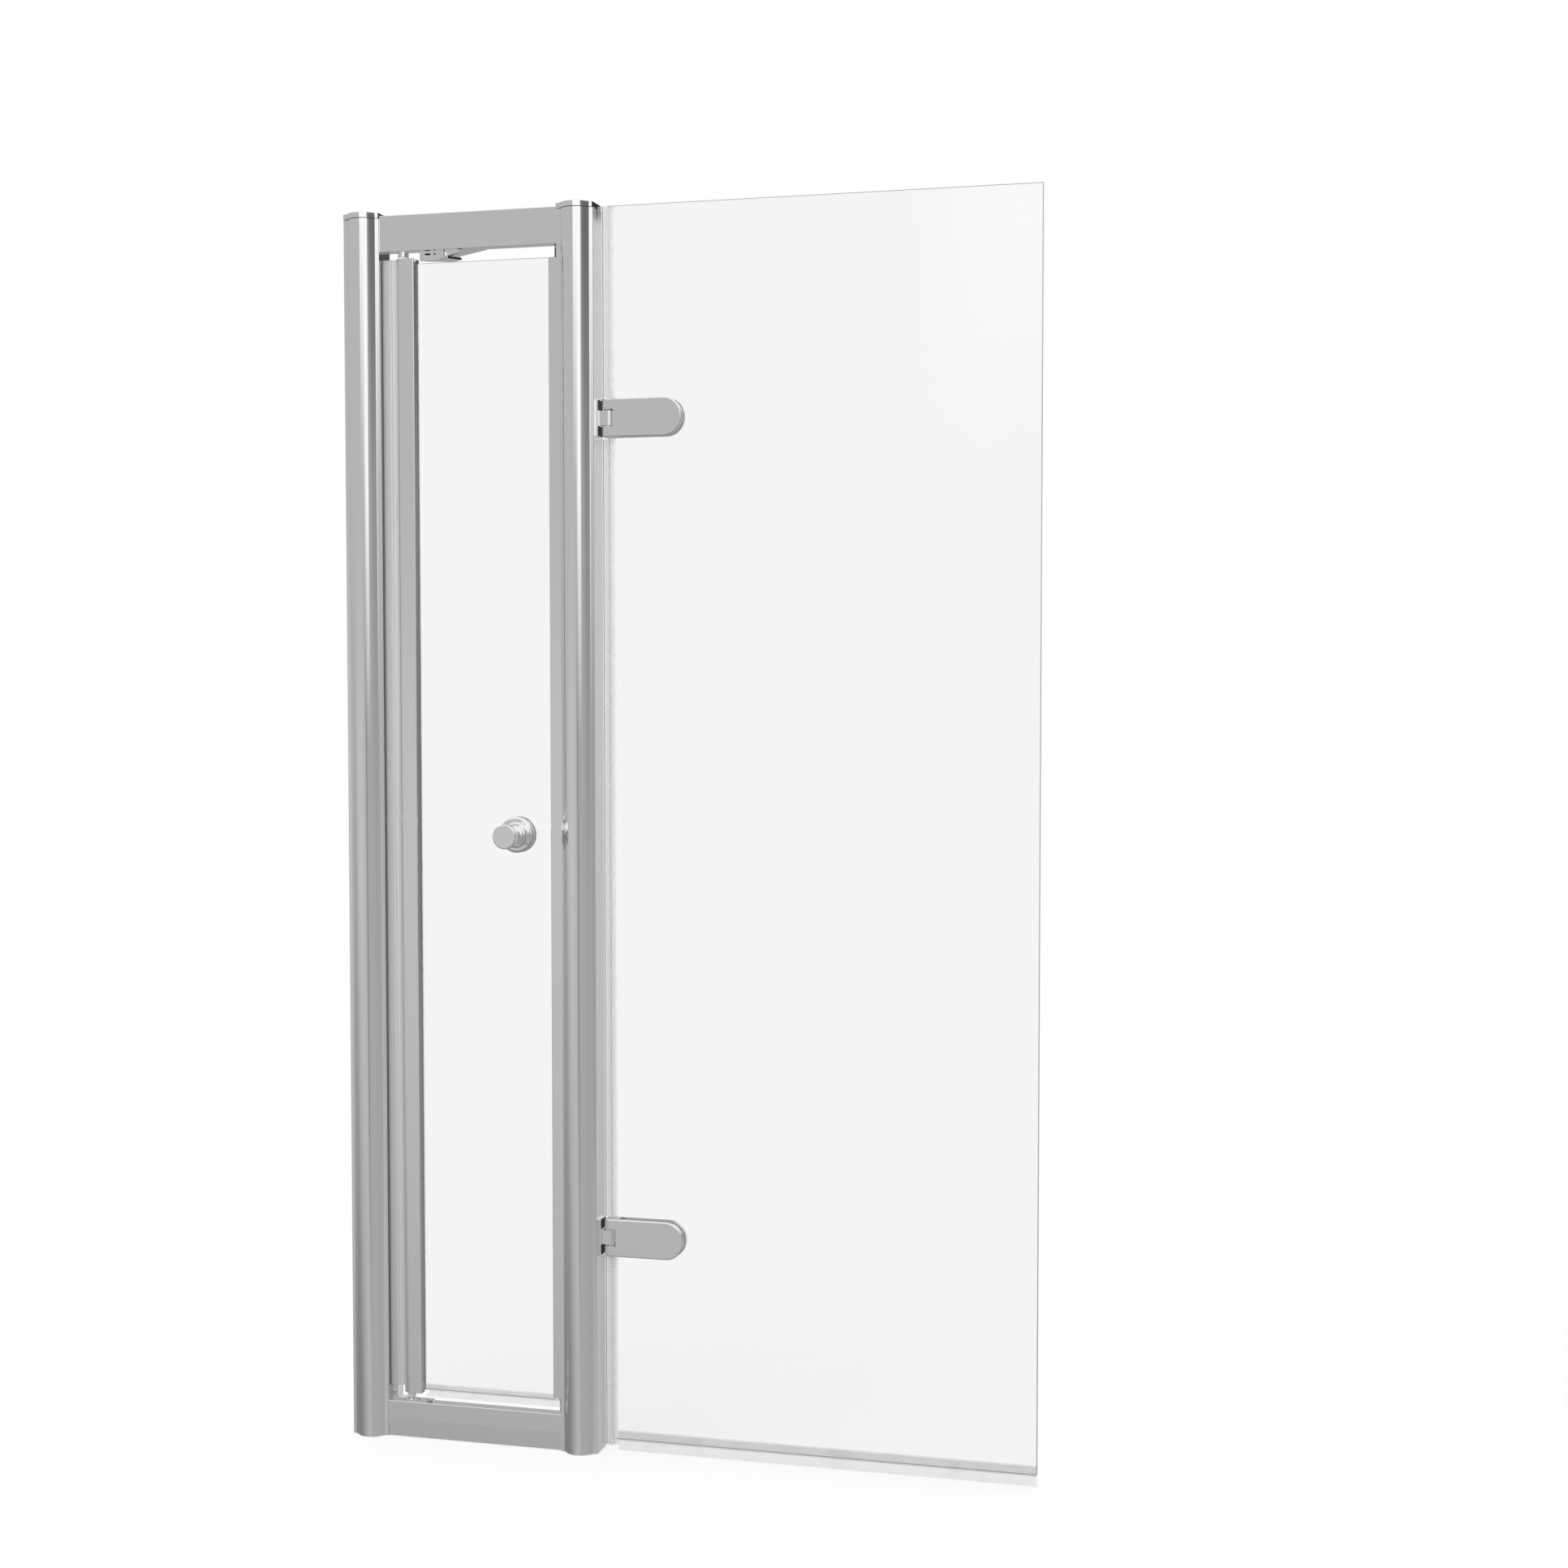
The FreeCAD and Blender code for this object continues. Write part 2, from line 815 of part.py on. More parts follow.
def door_hinge_stile():
    """Hollow stile round the pivot, with a slot for the door glass at its back right."""
    left = pivot_x - stile_left
    slot_x = stile_edge_x - slot_depth
    bend = (stile_front + stile_back) / 2 - least_radius
    outline = [
        (left, -stile_front, bend),
        (stile_edge_x, -stile_front, stile_edge),
        (stile_edge_x, -slot_half, least_radius),
        (slot_x, -slot_half, 0),
        (slot_x, slot_half, 0),
        (stile_edge_x - stile_back_step, slot_half, least_radius),
        (stile_edge_x - stile_back_step, stile_back, least_radius),
        (left, stile_back, bend),
    ]
    return bar("z", outline, door_foot, door_head).cut(bar("z", stile_chamber(), door_foot, door_head))


def stile_plug(start, end, flange_start, flange_end, flange_radius):
    """Plug in the stile's end with a round flange, bored for the pivot pin."""
    body = bar("z", inset(stile_chamber(), plug_gap, True), start, end)
    body = body.fuse(rod("z", pivot_x, pivot_y, flange_radius, flange_start, flange_end))
    return body.cut(rod("z", pivot_x, pivot_y, pivot_radius + pin_gap, 0, frame_height))


def stile_top_plug():
    """Upper plug of the hinge stile."""
    return stile_plug(door_head - plug_reach, door_head, door_head, door_head + bush_flange, collar_radius)


def stile_bottom_plug():
    """Lower plug of the hinge stile; its flange bears on the shoulder of the pin."""
    return stile_plug(door_foot, door_foot + plug_reach, foot_pin_top + pin_gap, door_foot, foot_bush_radius)


def door_glass():
    """Door pane with the hole for the knob."""
    pane = block(door_glass_left, door_glass_right, -glass_half, glass_half, door_glass_foot, door_glass_head)
    return pane.cut(rod("y", knob_x, knob_height, knob_hole_radius, -glass_half, glass_half))


def gasket(closed_end, open_end, foot, head):
    """Soft U round one edge of the door glass."""
    inner = closed_end + math.copysign(gasket_base, open_end - closed_end)
    outline = [
        (closed_end, -slot_half, 0),
        (open_end, -slot_half, 0),
        (open_end, -glass_half, 0),
        (inner, -glass_half, 0),
        (inner, glass_half, 0),
        (open_end, glass_half, 0),
        (open_end, slot_half, 0),
        (closed_end, slot_half, 0),
    ]
    return bar("z", outline, foot, head)


def hinge_gasket():
    """Gasket in the slot of the hinge stile."""
    return gasket(stile_edge_x - slot_depth, stile_edge_x + gasket_proud, door_glass_foot, door_glass_head)


def strike_gasket():
    """Gasket in the strike stile."""
    return gasket(strike_right - strike_web, strike_left - gasket_proud, strike_foot, strike_head)


def strike_stile():
    """Channel on the free edge of the door glass."""
    web = strike_right - strike_web
    outline = [
        (strike_left, -strike_half_depth, strike_corner),
        (strike_right, -strike_half_depth, strike_corner),
        (strike_right, strike_half_depth, strike_corner),
        (strike_left, strike_half_depth, strike_corner),
        (strike_left, slot_half, least_radius),
        (web, slot_half, 0),
        (web, -slot_half, 0),
        (strike_left, -slot_half, least_radius),
    ]
    return bar("z", outline, strike_foot, strike_head)


def drip_seal(left, right, foot, clip_height, fin_drop):
    """Clip under a glass edge with a thin fin hanging from it."""
    side = glass_half + clip_wall
    fin = fin_thickness / 2
    outline = [
        (-side, foot - clip_wall, least_radius),
        (-fin, foot - clip_wall, 0),
        (-fin, foot - fin_drop, 0),
        (fin, foot - fin_drop, 0),
        (fin, foot - clip_wall, 0),
        (side, foot - clip_wall, least_radius),
        (side, foot + clip_height, 0),
        (glass_half, foot + clip_height, 0),
        (glass_half, foot, 0),
        (-glass_half, foot, 0),
        (-glass_half, foot + clip_height, 0),
        (-side, foot + clip_height, 0),
    ]
    return bar("x", outline, left, right)


def door_bottom_seal():
    """Drip seal of the door, cut aslant at the hinge and clear of the strike stile."""
    left = stile_edge_x + gasket_proud
    right = strike_left + door_fin_past_stile
    side = glass_half + clip_wall
    body = drip_seal(left, right, door_glass_foot, door_clip_height, door_fin_drop)
    body = body.cut(block(strike_left - gasket_proud, right, -side, side, door_glass_foot, door_glass_head))
    low = door_glass_foot - clip_wall
    corner = [(left, low - door_fin_cut, 0), (left + door_fin_cut, low, 0), (left, low, 0)]
    return body.cut(bar("y", corner, -side, side))


def knob():
    """Turned pull knob with a tapered waist, a ring and a stem through the glass."""
    head_end = knob_head_length - knob_face
    taper_end = head_end + knob_taper_length
    neck_end = taper_end + knob_neck_length
    foot = -glass_half - washer_thickness - rose_rise
    bore_start = glass_half + washer_thickness - knob_screw_reach
    profile = [
        (0, -knob_face, 0),
        (knob_radius, -knob_face, knob_head_edge),
        (knob_radius, head_end, knob_edge),
        (knob_neck_radius, taper_end, knob_edge),
        (knob_neck_radius, neck_end, least_radius),
        (knob_ring_radius, neck_end, knob_edge),
        (knob_ring_radius, foot, 0),
        (knob_stem_radius, foot, 0),
        (knob_stem_radius, glass_half, 0),
        (knob_screw_radius + fit_gap, glass_half, 0),
        (knob_screw_radius + fit_gap, bore_start, 0),
        (0, bore_start, 0),
    ]
    return turned("y", knob_x, knob_height, profile)


def knob_rose():
    """Round-edged rose between the knob and the room side of the glass, coved up to a boss."""
    foot = -glass_half - washer_thickness
    profile = [
        (knob_stem_radius + fit_gap, foot - rose_rise, 0),
        (rose_boss, foot - rose_rise, least_radius),
        (rose_boss, foot - rose_rim, rose_cove),
        (rose_radius, foot - rose_rim, rose_edge),
        (rose_radius, foot, 0),
        (knob_stem_radius + fit_gap, foot, 0),
    ]
    return turned("y", knob_x, knob_height, profile)


def knob_back_plate():
    """Round plate on the far side of the glass, sunk for the knob screw."""
    start = glass_half + washer_thickness
    end = start + back_plate_thickness
    plate = rod("y", knob_x, knob_height, rose_radius, start, end)
    rim = [edge for edge in plate.Edges if abs(edge.CenterOfMass.y - end) < fit_gap and edge.Closed]
    plate = plate.makeFillet(back_plate_edge, rim)
    return plate.cut(sunk_hole("y", knob_x, knob_height, end, -1, knob_screw_radius, knob_screw_head,
                               back_plate_thickness))


def knob_screw():
    """Screw that draws the back plate and the knob together."""
    face = glass_half + washer_thickness + back_plate_thickness
    reach = knob_screw_reach + back_plate_thickness - run_gap
    return sunk_screw("y", knob_x, knob_height, face, -1, knob_screw_radius, knob_screw_head, reach)


def knob_washers():
    """Soft rings between the glass and the knob's metal."""
    rings = []
    for start in (-glass_half - washer_thickness, glass_half):
        ring = rod("y", knob_x, knob_height, washer_radius, start, start + washer_thickness)
        rings.append(ring.cut(rod("y", knob_x, knob_height, knob_hole_radius, start, start + washer_thickness)))
    return Part.makeCompound(rings)


def pivot_seal():
    """Soft seal from the wall post towards the round side of the hinge stile."""
    bead_start = wall_post_right + pivot_seal_bead_start
    bead_end = bead_start + pivot_seal_bead_length
    base = wall_post_right + pivot_seal_base
    tip = wall_post_right + pivot_seal_reach
    half = [
        (wall_post_right, pivot_seal_base_width / 2),
        (base, pivot_seal_base_width / 2),
        (base, pivot_seal_fin / 2),
        (bead_start, pivot_seal_fin / 2),
        (bead_start, pivot_seal_bead / 2),
        (bead_end, pivot_seal_bead / 2),
        (bead_end, pivot_seal_lip / 2),
        (tip, pivot_seal_lip / 2),
    ]
    front = [(x, -pivot_seal_plane - y, 0) for x, y in half]
    back = [(x, -pivot_seal_plane + y, 0) for x, y in half]
    return bar("z", front + back[::-1], pivot_seal_foot, door_head)


def seal_block():
    """Clear corner block under the pivot seal, with a window through it."""
    left = wall_post_right
    outline = [
        (left, rail_height, 0),
        (left + block_toe, rail_height, 0),
        (left + block_toe, rail_height + block_toe_height, fin_thickness),
        (left + block_width, rail_height + block_toe_height, fin_thickness),
        (left + block_width, pivot_seal_foot, fin_thickness),
        (left, pivot_seal_foot, 0),
    ]
    body = bar("y", outline, -block_front, -block_back)
    middle = left + block_width / 2
    height = (rail_height + pivot_seal_foot) / 2
    window = rectangle(middle - block_window / 2, middle + block_window / 2,
                       height - block_window / 2, height + block_window / 2, fin_thickness)
    return body.cut(bar("y", window, -block_front, -block_back))


def stay_bracket():
    """Folded bracket on the back of the top rail: a cheek, a three-cornered wing and a skewed shelf below it."""
    left = bracket_left
    right = left + bracket_length
    foot = top_rail_foot - bracket_hang
    back = rail_back + bracket_sheet
    hanging = [(left, foot, 0), (left + bracket_flat, foot, 0), (left + bracket_tail, top_rail_foot, 0)]
    plate = hanging + [
        (right, top_rail_foot, 0),
        (right, top_rail_foot + bracket_rise, bracket_corner),
        (left, top_rail_foot + bracket_rise, bracket_corner),
    ]
    body = bar("y", plate, rail_back, back)
    body = body.fuse(bar("y", hanging + [(left, top_rail_foot, 0)], rail_back - bracket_cheek, rail_back))
    notch_right = left + bracket_shelf
    wing = [
        (notch_right, back, 0),
        (right, back, 0),
        (left + bracket_wing_corner, rail_back + bracket_wing_depth, bracket_sheet),
    ]
    body = body.fuse(bar("z", wing, top_rail_foot, top_rail_foot + bracket_sheet))
    body = body.cut(block(notch_right - bracket_notch, notch_right, -rail_front, back,
                          top_rail_foot - bracket_notch_height, top_rail_foot))
    shelf = [
        (left, back, 0),
        (notch_right, back, 0),
        (left + bracket_shelf_nose, rail_back + bracket_shelf_depth, 0),
        (left + bracket_shelf_heel, rail_back + bracket_depth, 0),
        (left, rail_back + bracket_shelf_depth, 0),
    ]
    shelf_foot = top_rail_foot - bracket_shelf_drop
    body = body.fuse(bar("z", shelf, shelf_foot, shelf_foot + bracket_shelf_thickness))
    slot_top = top_rail_foot - bracket_slot_drop + bracket_slot_height / 2
    slot_left = left + bracket_slot_start
    body = body.cut(block(slot_left, slot_left + bracket_slot_length, rail_back - bracket_cheek, back,
                          slot_top - bracket_slot_height, slot_top))
    body = body.cut(rod("y", left + bracket_hole_start, top_rail_foot - bracket_slot_drop, bracket_hole_radius,
                        rail_back - bracket_cheek, back))
    for x, height in bracket_screw_places():
        body = body.cut(rod("y", x, height, bracket_screw_radius + fit_gap, rail_back, back))
    return body.removeSplitter()


def bracket_screws():
    """Screws that hold the bracket on the rail."""
    return Part.makeCompound([
        pan_screw("y", x, height, rail_back + bracket_sheet, -1, bracket_screw_radius, bracket_screw_reach)
        for x, height in bracket_screw_places()
    ])


def hinge_plate(middle):
    """Plate on the hinge post with the round-nosed knuckle between the leaf's ears."""
    face = hinge_post_right + plate_thickness
    outline = rectangle(-plate_half_depth, plate_half_depth,
                        middle - plate_half_height, middle + plate_half_height, plate_corner)
    nose = hinge_axis_x + knuckle_half_depth
    bend = knuckle_half_depth - least_radius
    knuckle = [
        (hinge_post_right, -knuckle_half_depth, 0),
        (nose, -knuckle_half_depth, bend),
        (nose, knuckle_half_depth, bend),
        (hinge_post_right, knuckle_half_depth, 0),
    ]
    low = middle - knuckle_half_height
    high = middle + knuckle_half_height
    body = bar("x", outline, hinge_post_right, face).fuse(bar("z", knuckle, low, high))
    body = body.cut(rod("z", hinge_axis_x, 0, bush_radius, low, high))
    for offset in (-plate_screw_offset, plate_screw_offset):
        body = body.cut(sunk_hole("x", 0, middle + offset, face, -1, plate_screw_radius, plate_screw_head,
                                  plate_thickness))
    return body.removeSplitter()


def hinge_plate_screws():
    """Sunk screws through the hinge plates into the backing plates."""
    face = hinge_post_right + plate_thickness
    return Part.makeCompound([
        sunk_screw("x", 0, middle + offset, face, -1, plate_screw_radius, plate_screw_head, plate_screw_reach)
        for middle in hinge_heights for offset in (-plate_screw_offset, plate_screw_offset)
    ])


def hinge_backing_plates():
    """Tapped plates inside the hinge post."""
    right = hinge_post_right - post_wall
    left = right - backing_thickness
    plates = []
    for middle in hinge_heights:
        plate = block(left, right, -backing_half_depth, backing_half_depth,
                      middle - backing_half_height, middle + backing_half_height)
        for offset in (-plate_screw_offset, plate_screw_offset):
            plate = plate.cut(rod("x", 0, middle + offset, plate_screw_radius + fit_gap, left, right))
        plates.append(plate)
    return Part.makeCompound(plates)


def knuckle_bushes():
    """Flanged bushes pressed in from both ends of each knuckle."""
    bushes = []
    bore = hinge_pin_radius + pin_gap
    for middle in hinge_heights:
        for side in (-1, 1):
            end = middle + side * knuckle_half_height
            profile = [
                (bore, end - side * bush_length, 0),
                (bush_radius, end - side * bush_length, 0),
                (bush_radius, end, 0),
                (thrust_radius, end, 0),
                (thrust_radius, end + side * thrust_thickness, 0),
                (bore, end + side * thrust_thickness, 0),
            ]
            bushes.append(turned("z", hinge_axis_x, 0, profile))
    return Part.makeCompound(bushes)


def hinge_pins():
    """Pins held in the leaf ears."""
    return Part.makeCompound([
        rod("z", hinge_axis_x, 0, hinge_pin_radius, middle - hinge_pin_half, middle + hinge_pin_half)
        for middle in hinge_heights
    ])


def leaf_outline(middle, margin, left):
    """Flat leaf with a fully rounded end, drawn in by a margin."""
    half = leaf_half_height - margin
    end = leaf_end - margin
    return [
        (left, middle - half, 0),
        (end, middle - half, half - least_radius),
        (end, middle + half, half - least_radius),
        (left, middle + half, 0),
    ]


def leaf(middle, side):
    """One cheek of a leaf with its two half ears: side -1 faces the room, +1 is the far one."""
    left = hinge_axis_x - ear_face
    outer = side * leaf_half_depth
    inner = side * leaf_inner
    low = middle - leaf_half_height
    high = middle + leaf_half_height
    body = bar("y", leaf_outline(middle, 0, left), min(outer, inner), max(outer, inner))
    rim = [
        edge for edge in body.Edges
        if abs(edge.CenterOfMass.y - outer) < fit_gap and edge.CenterOfMass.x > left + fit_gap
    ]
    body = body.makeFillet(leaf_edge, rim)
    body = body.fuse(block(left, hinge_axis_x + ear_reach, min(inner, 0), max(inner, 0), low, high))
    swept = rod("z", hinge_axis_x, 0, ear_radius, low, high)
    swept = swept.fuse(block(hinge_axis_x, leaf_end, -leaf_half_depth, leaf_half_depth, low, high))
    body = body.common(swept)
    body = body.cut(block(left, hinge_axis_x + leaf_notch_reach, -leaf_half_depth, leaf_half_depth,
                          middle - leaf_notch_half, middle + leaf_notch_half))
    body = body.cut(rod("z", hinge_axis_x, 0, hinge_pin_radius, middle - hinge_pin_half, middle + hinge_pin_half))
    for x in leaf_screw_xs:
        body = body.cut(sunk_hole("y", x, middle, leaf_half_depth, -1, leaf_screw_radius, leaf_screw_head,
                                  leaf_screw_reach + run_gap))
    return body.removeSplitter()


def leaf_gaskets():
    """Soft sheets between the glass and the leaves."""
    sheets = []
    left = screen_left + cutout_reach
    for middle in hinge_heights:
        for start in (-leaf_inner, glass_half):
            sheet = bar("y", leaf_outline(middle, leaf_gasket_margin, left), start, start + leaf_gasket)
            for x in leaf_screw_xs:
                sheet = sheet.cut(rod("y", x, middle, glass_hole_radius, start, start + leaf_gasket))
            sheets.append(sheet)
    return Part.makeCompound(sheets)


def leaf_screws():
    """Sunk screws that clamp the leaves on the glass from the far side."""
    return Part.makeCompound([
        sunk_screw("y", x, middle, leaf_half_depth, -1, leaf_screw_radius, leaf_screw_head, leaf_screw_reach)
        for middle in hinge_heights for x in leaf_screw_xs
    ])


def screen_glass():
    """Wide pane with a cut-out and two holes at each hinge."""
    pane = block(screen_left, screen_reach, -glass_half, glass_half, screen_foot, screen_head)
    for middle in hinge_heights:
        cutout = [
            (screen_left, middle - cutout_half_height, 0),
            (screen_left + cutout_reach, middle - cutout_half_height, cutout_corner),
            (screen_left + cutout_reach, middle + cutout_half_height, cutout_corner),
            (screen_left, middle + cutout_half_height, 0),
        ]
        pane = pane.cut(bar("y", cutout, -glass_half, glass_half))
        for x in leaf_screw_xs:
            pane = pane.cut(rod("y", x, middle, glass_hole_radius, -glass_half, glass_half))
    return pane


def edge_seal_section():
    """Outside and hollow of the edge seal: clip, bulb and fin towards the post."""
    clip = screen_left + edge_clip_reach
    web = screen_left - edge_web
    bulb = web - edge_bulb_length
    tip = hinge_post_right + edge_fin_gap
    side = glass_half + edge_clip_side
    half = [
        (tip, edge_fin_half),
        (bulb, edge_fin_half),
        (bulb + edge_bulb_wall, edge_bulb_half),
        (web - edge_bulb_wall, edge_bulb_half),
        (web, side),
        (clip, side),
        (clip, glass_half),
        (screen_left, glass_half),
    ]
    front = [(x, -y, 0) for x, y in half]
    back = [(x, y, 0) for x, y in half]
    hollow_half = edge_bulb_half - edge_bulb_wall
    hollow = rectangle(bulb + 2 * edge_bulb_wall, web - edge_bulb_wall, -hollow_half, hollow_half, least_radius)
    return front + back[::-1], hollow


def screen_edge_seal():
    """Edge seal in three lengths, parted at the hinges."""
    outline, hollow = edge_seal_section()
    keep = cutout_half_height + edge_hinge_gap
    low, high = hinge_heights
    lengths = []
    for foot, head in ((edge_foot, low - keep), (low + keep, high - keep), (high + keep, screen_head)):
        lengths.append(bar("z", outline, foot, head).cut(bar("z", hollow, foot, head)))
    return Part.makeCompound(lengths)


def screen_bottom_seal():
    """Drip seal under the swing panel."""
    left = screen_left + edge_clip_reach + run_gap
    return drip_seal(left, screen_reach, screen_foot, screen_clip_height, screen_fin_drop)


nodes = {
    "wall_channel": wall_channel(),
    "wall_post": wall_post(),
    "hinge_post": hinge_post(),
    "wall_post_cap": wall_post_cap(),
    "hinge_post_cap": hinge_post_cap(),
    "wall_cap_gasket": wall_cap_gasket(),
    "hinge_cap_gasket": hinge_cap_gasket(),
    "top_rail": top_rail(),
    "bottom_rail": bottom_rail(),
    "rail_screws": rail_screws(),
    "post_screws": post_screws(),
    "post_screw_caps": post_screw_caps(),
    "strike_profile": strike_profile(),
    "strike_seal": strike_seal(),
    "top_pivot_pin": top_pivot_pin(),
    "bottom_pivot_pin": bottom_pivot_pin(),
    "bottom_pivot_plate": bottom_pivot_plate(),
    "foot_screws": foot_screws(),
    "stay_bracket": stay_bracket(),
    "bracket_screws": bracket_screws(),
    "pivot_seal": pivot_seal(),
    "seal_block": seal_block(),
    "hinge_plate_screws": hinge_plate_screws(),
    "hinge_backing_plates": hinge_backing_plates(),
    "knuckle_bushes": knuckle_bushes(),
    "door_hinge_stile": door_hinge_stile(),
    "stile_top_plug": stile_top_plug(),
    "stile_bottom_plug": stile_bottom_plug(),
    "door_glass": door_glass(),
    "hinge_gasket": hinge_gasket(),
    "strike_gasket": strike_gasket(),
    "strike_stile": strike_stile(),
    "door_bottom_seal": door_bottom_seal(),
    "knob": knob(),
    "knob_rose": knob_rose(),
    "knob_back_plate": knob_back_plate(),
    "knob_screw": knob_screw(),
    "knob_washers": knob_washers(),
    "screen_glass": screen_glass(),
    "leaf_gaskets": leaf_gaskets(),
    "leaf_screws": leaf_screws(),
    "hinge_pins": hinge_pins(),
    "screen_edge_seal": screen_edge_seal(),
    "screen_bottom_seal": screen_bottom_seal(),
}
for name, height in zip(("lower", "upper"), hinge_heights):
    nodes[name + "_hinge_plate"] = hinge_plate(height)
    nodes[name + "_leaf_front"] = leaf(height, -1)
    nodes[name + "_leaf_back"] = leaf(height, 1)

os.makedirs("parts", exist_ok=True)
for name, shape in nodes.items():
    shape.exportStep("parts/" + name + ".step")
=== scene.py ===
import json
import math

import bpy
import numpy as np
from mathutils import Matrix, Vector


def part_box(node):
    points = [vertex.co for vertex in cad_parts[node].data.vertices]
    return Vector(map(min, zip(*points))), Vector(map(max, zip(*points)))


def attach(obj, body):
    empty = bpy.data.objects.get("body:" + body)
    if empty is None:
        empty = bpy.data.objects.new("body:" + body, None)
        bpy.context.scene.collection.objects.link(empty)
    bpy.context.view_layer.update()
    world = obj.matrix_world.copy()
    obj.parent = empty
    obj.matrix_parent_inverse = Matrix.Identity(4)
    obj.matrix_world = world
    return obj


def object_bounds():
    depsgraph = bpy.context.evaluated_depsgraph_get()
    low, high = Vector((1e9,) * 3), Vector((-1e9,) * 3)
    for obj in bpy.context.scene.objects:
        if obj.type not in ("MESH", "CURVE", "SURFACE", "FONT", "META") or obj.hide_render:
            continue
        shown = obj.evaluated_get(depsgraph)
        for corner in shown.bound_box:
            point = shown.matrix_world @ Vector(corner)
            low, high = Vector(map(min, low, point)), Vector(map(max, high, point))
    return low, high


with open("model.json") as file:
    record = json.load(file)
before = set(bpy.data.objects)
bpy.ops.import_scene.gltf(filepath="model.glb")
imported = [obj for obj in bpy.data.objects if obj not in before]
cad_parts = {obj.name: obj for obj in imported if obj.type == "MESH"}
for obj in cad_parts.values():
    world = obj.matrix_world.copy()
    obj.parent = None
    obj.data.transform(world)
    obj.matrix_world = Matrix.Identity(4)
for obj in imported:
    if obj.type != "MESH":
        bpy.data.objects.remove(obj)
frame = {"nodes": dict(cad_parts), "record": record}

cad_low, cad_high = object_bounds()

# Camera, in metres and degrees
camera_place = (1.2120, -2.5797, 0.9357)
camera_down = 2.593
camera_turn = 14.384
camera_lens = 51.97
sensor_width = 36.0

# Studio: floor, sky and lamp
floor_drop = 0.0006
floor_radius = 1.5
floor_clear = 0.7
floor_sides = 96
floor_tone = 0.36
floor_glow = 0.70
floor_roughness = 0.9
sky_level = 0.8
lamp_power = 12.0
lamp_size = 1.6
lamp_place = (-0.6, -1.4, 2.6)
lamp_tilt = 28.0
lamp_turn = -28.0

# Glossy depth past which a ray has met a mirror
mirror_depth = 0.5

# Ground edges of the panes
edge_gap = 0.00002
edge_skin = 0.00003
arris = 0.0005

# Painted shade: dark plates on the hinge plates above and below each knuckle, which darken the gaps round the
# leaves
gap_shade_face = 0.0032
gap_shade_thickness = 0.00015
gap_shade_half_depth = 0.0092
gap_shade_start = 0.0094
gap_shade_end = 0.0215
gap_shade_corner = 0.0015
corner_steps = 7

# Painted shade at the root of the pivot seal as a dark strip, and the soft lip of the seal
root_shade_depth = 0.0012
root_shade_lap = 0.0011
root_shade_side = 0.0008
root_shade_skin = 0.00005
lip_thickness = 0.0006
lip_join = 0.0004
lip_reach = 0.0022
lip_back = 0.0042
lip_bend = 0.25
lip_thinning = 0.4
lip_steps = 13

# Bead of the screen's edge seal, where its fin meets the bulb
bead_set_in = 0.0145
bead_face = 0.0009
bead_half_width = 0.00045
bead_half_height = 0.00035
bead_corner = 0.00015

# Soft rims between the glass and the metal of the hinges and the knob
rim_inset = 0.0001
rim_gap = 0.00002
rim_depth = 0.0006
leaf_rim_width = 0.0008
leaf_rim_length = 0.075
leaf_rim_steps = 33
knob_rim_width = 0.0022
knob_rim_steps = 72

# Rubber in the top gap: a plug in the stile's slot and the head of the strike seal
plug_height = 0.0047
plug_inset = 0.0007
plug_corner = 0.0008
strike_lap = 0.0007
strike_rise = 0.0143
strike_corner = 0.0004

# Buffer at the end of the bracket, its ends in plan
buffer_start = (0.1292, 0.0032)
buffer_end = (0.1402, 0.0182)
buffer_foot = 1.4484
buffer_head = 1.4511
buffer_thickness = 0.0008
buffer_corner = 0.0003

# Dark pad behind the slot and the hole of the bracket
pad_middle = (0.1075, 1.4534)
pad_half_length = 0.0080
pad_half_height = 0.0021
pad_corner = 0.0010
pad_face = 0.00302
pad_thickness = 0.0007

# Lower half of the bottom rail's face, which leans back a little
crease_height = 0.0225
skirt_foot = 0.0010
skirt_lean = 0.00035
skirt_end = 0.0001

# Web between the wing and the shelf of the bracket, corners in plan
web_corners = [(0.1303, 0.0120), (0.1334, 0.0330), (0.1300, 0.0395), (0.1155, 0.0295)]
web_foot = 1.45605
web_thickness = 0.0006

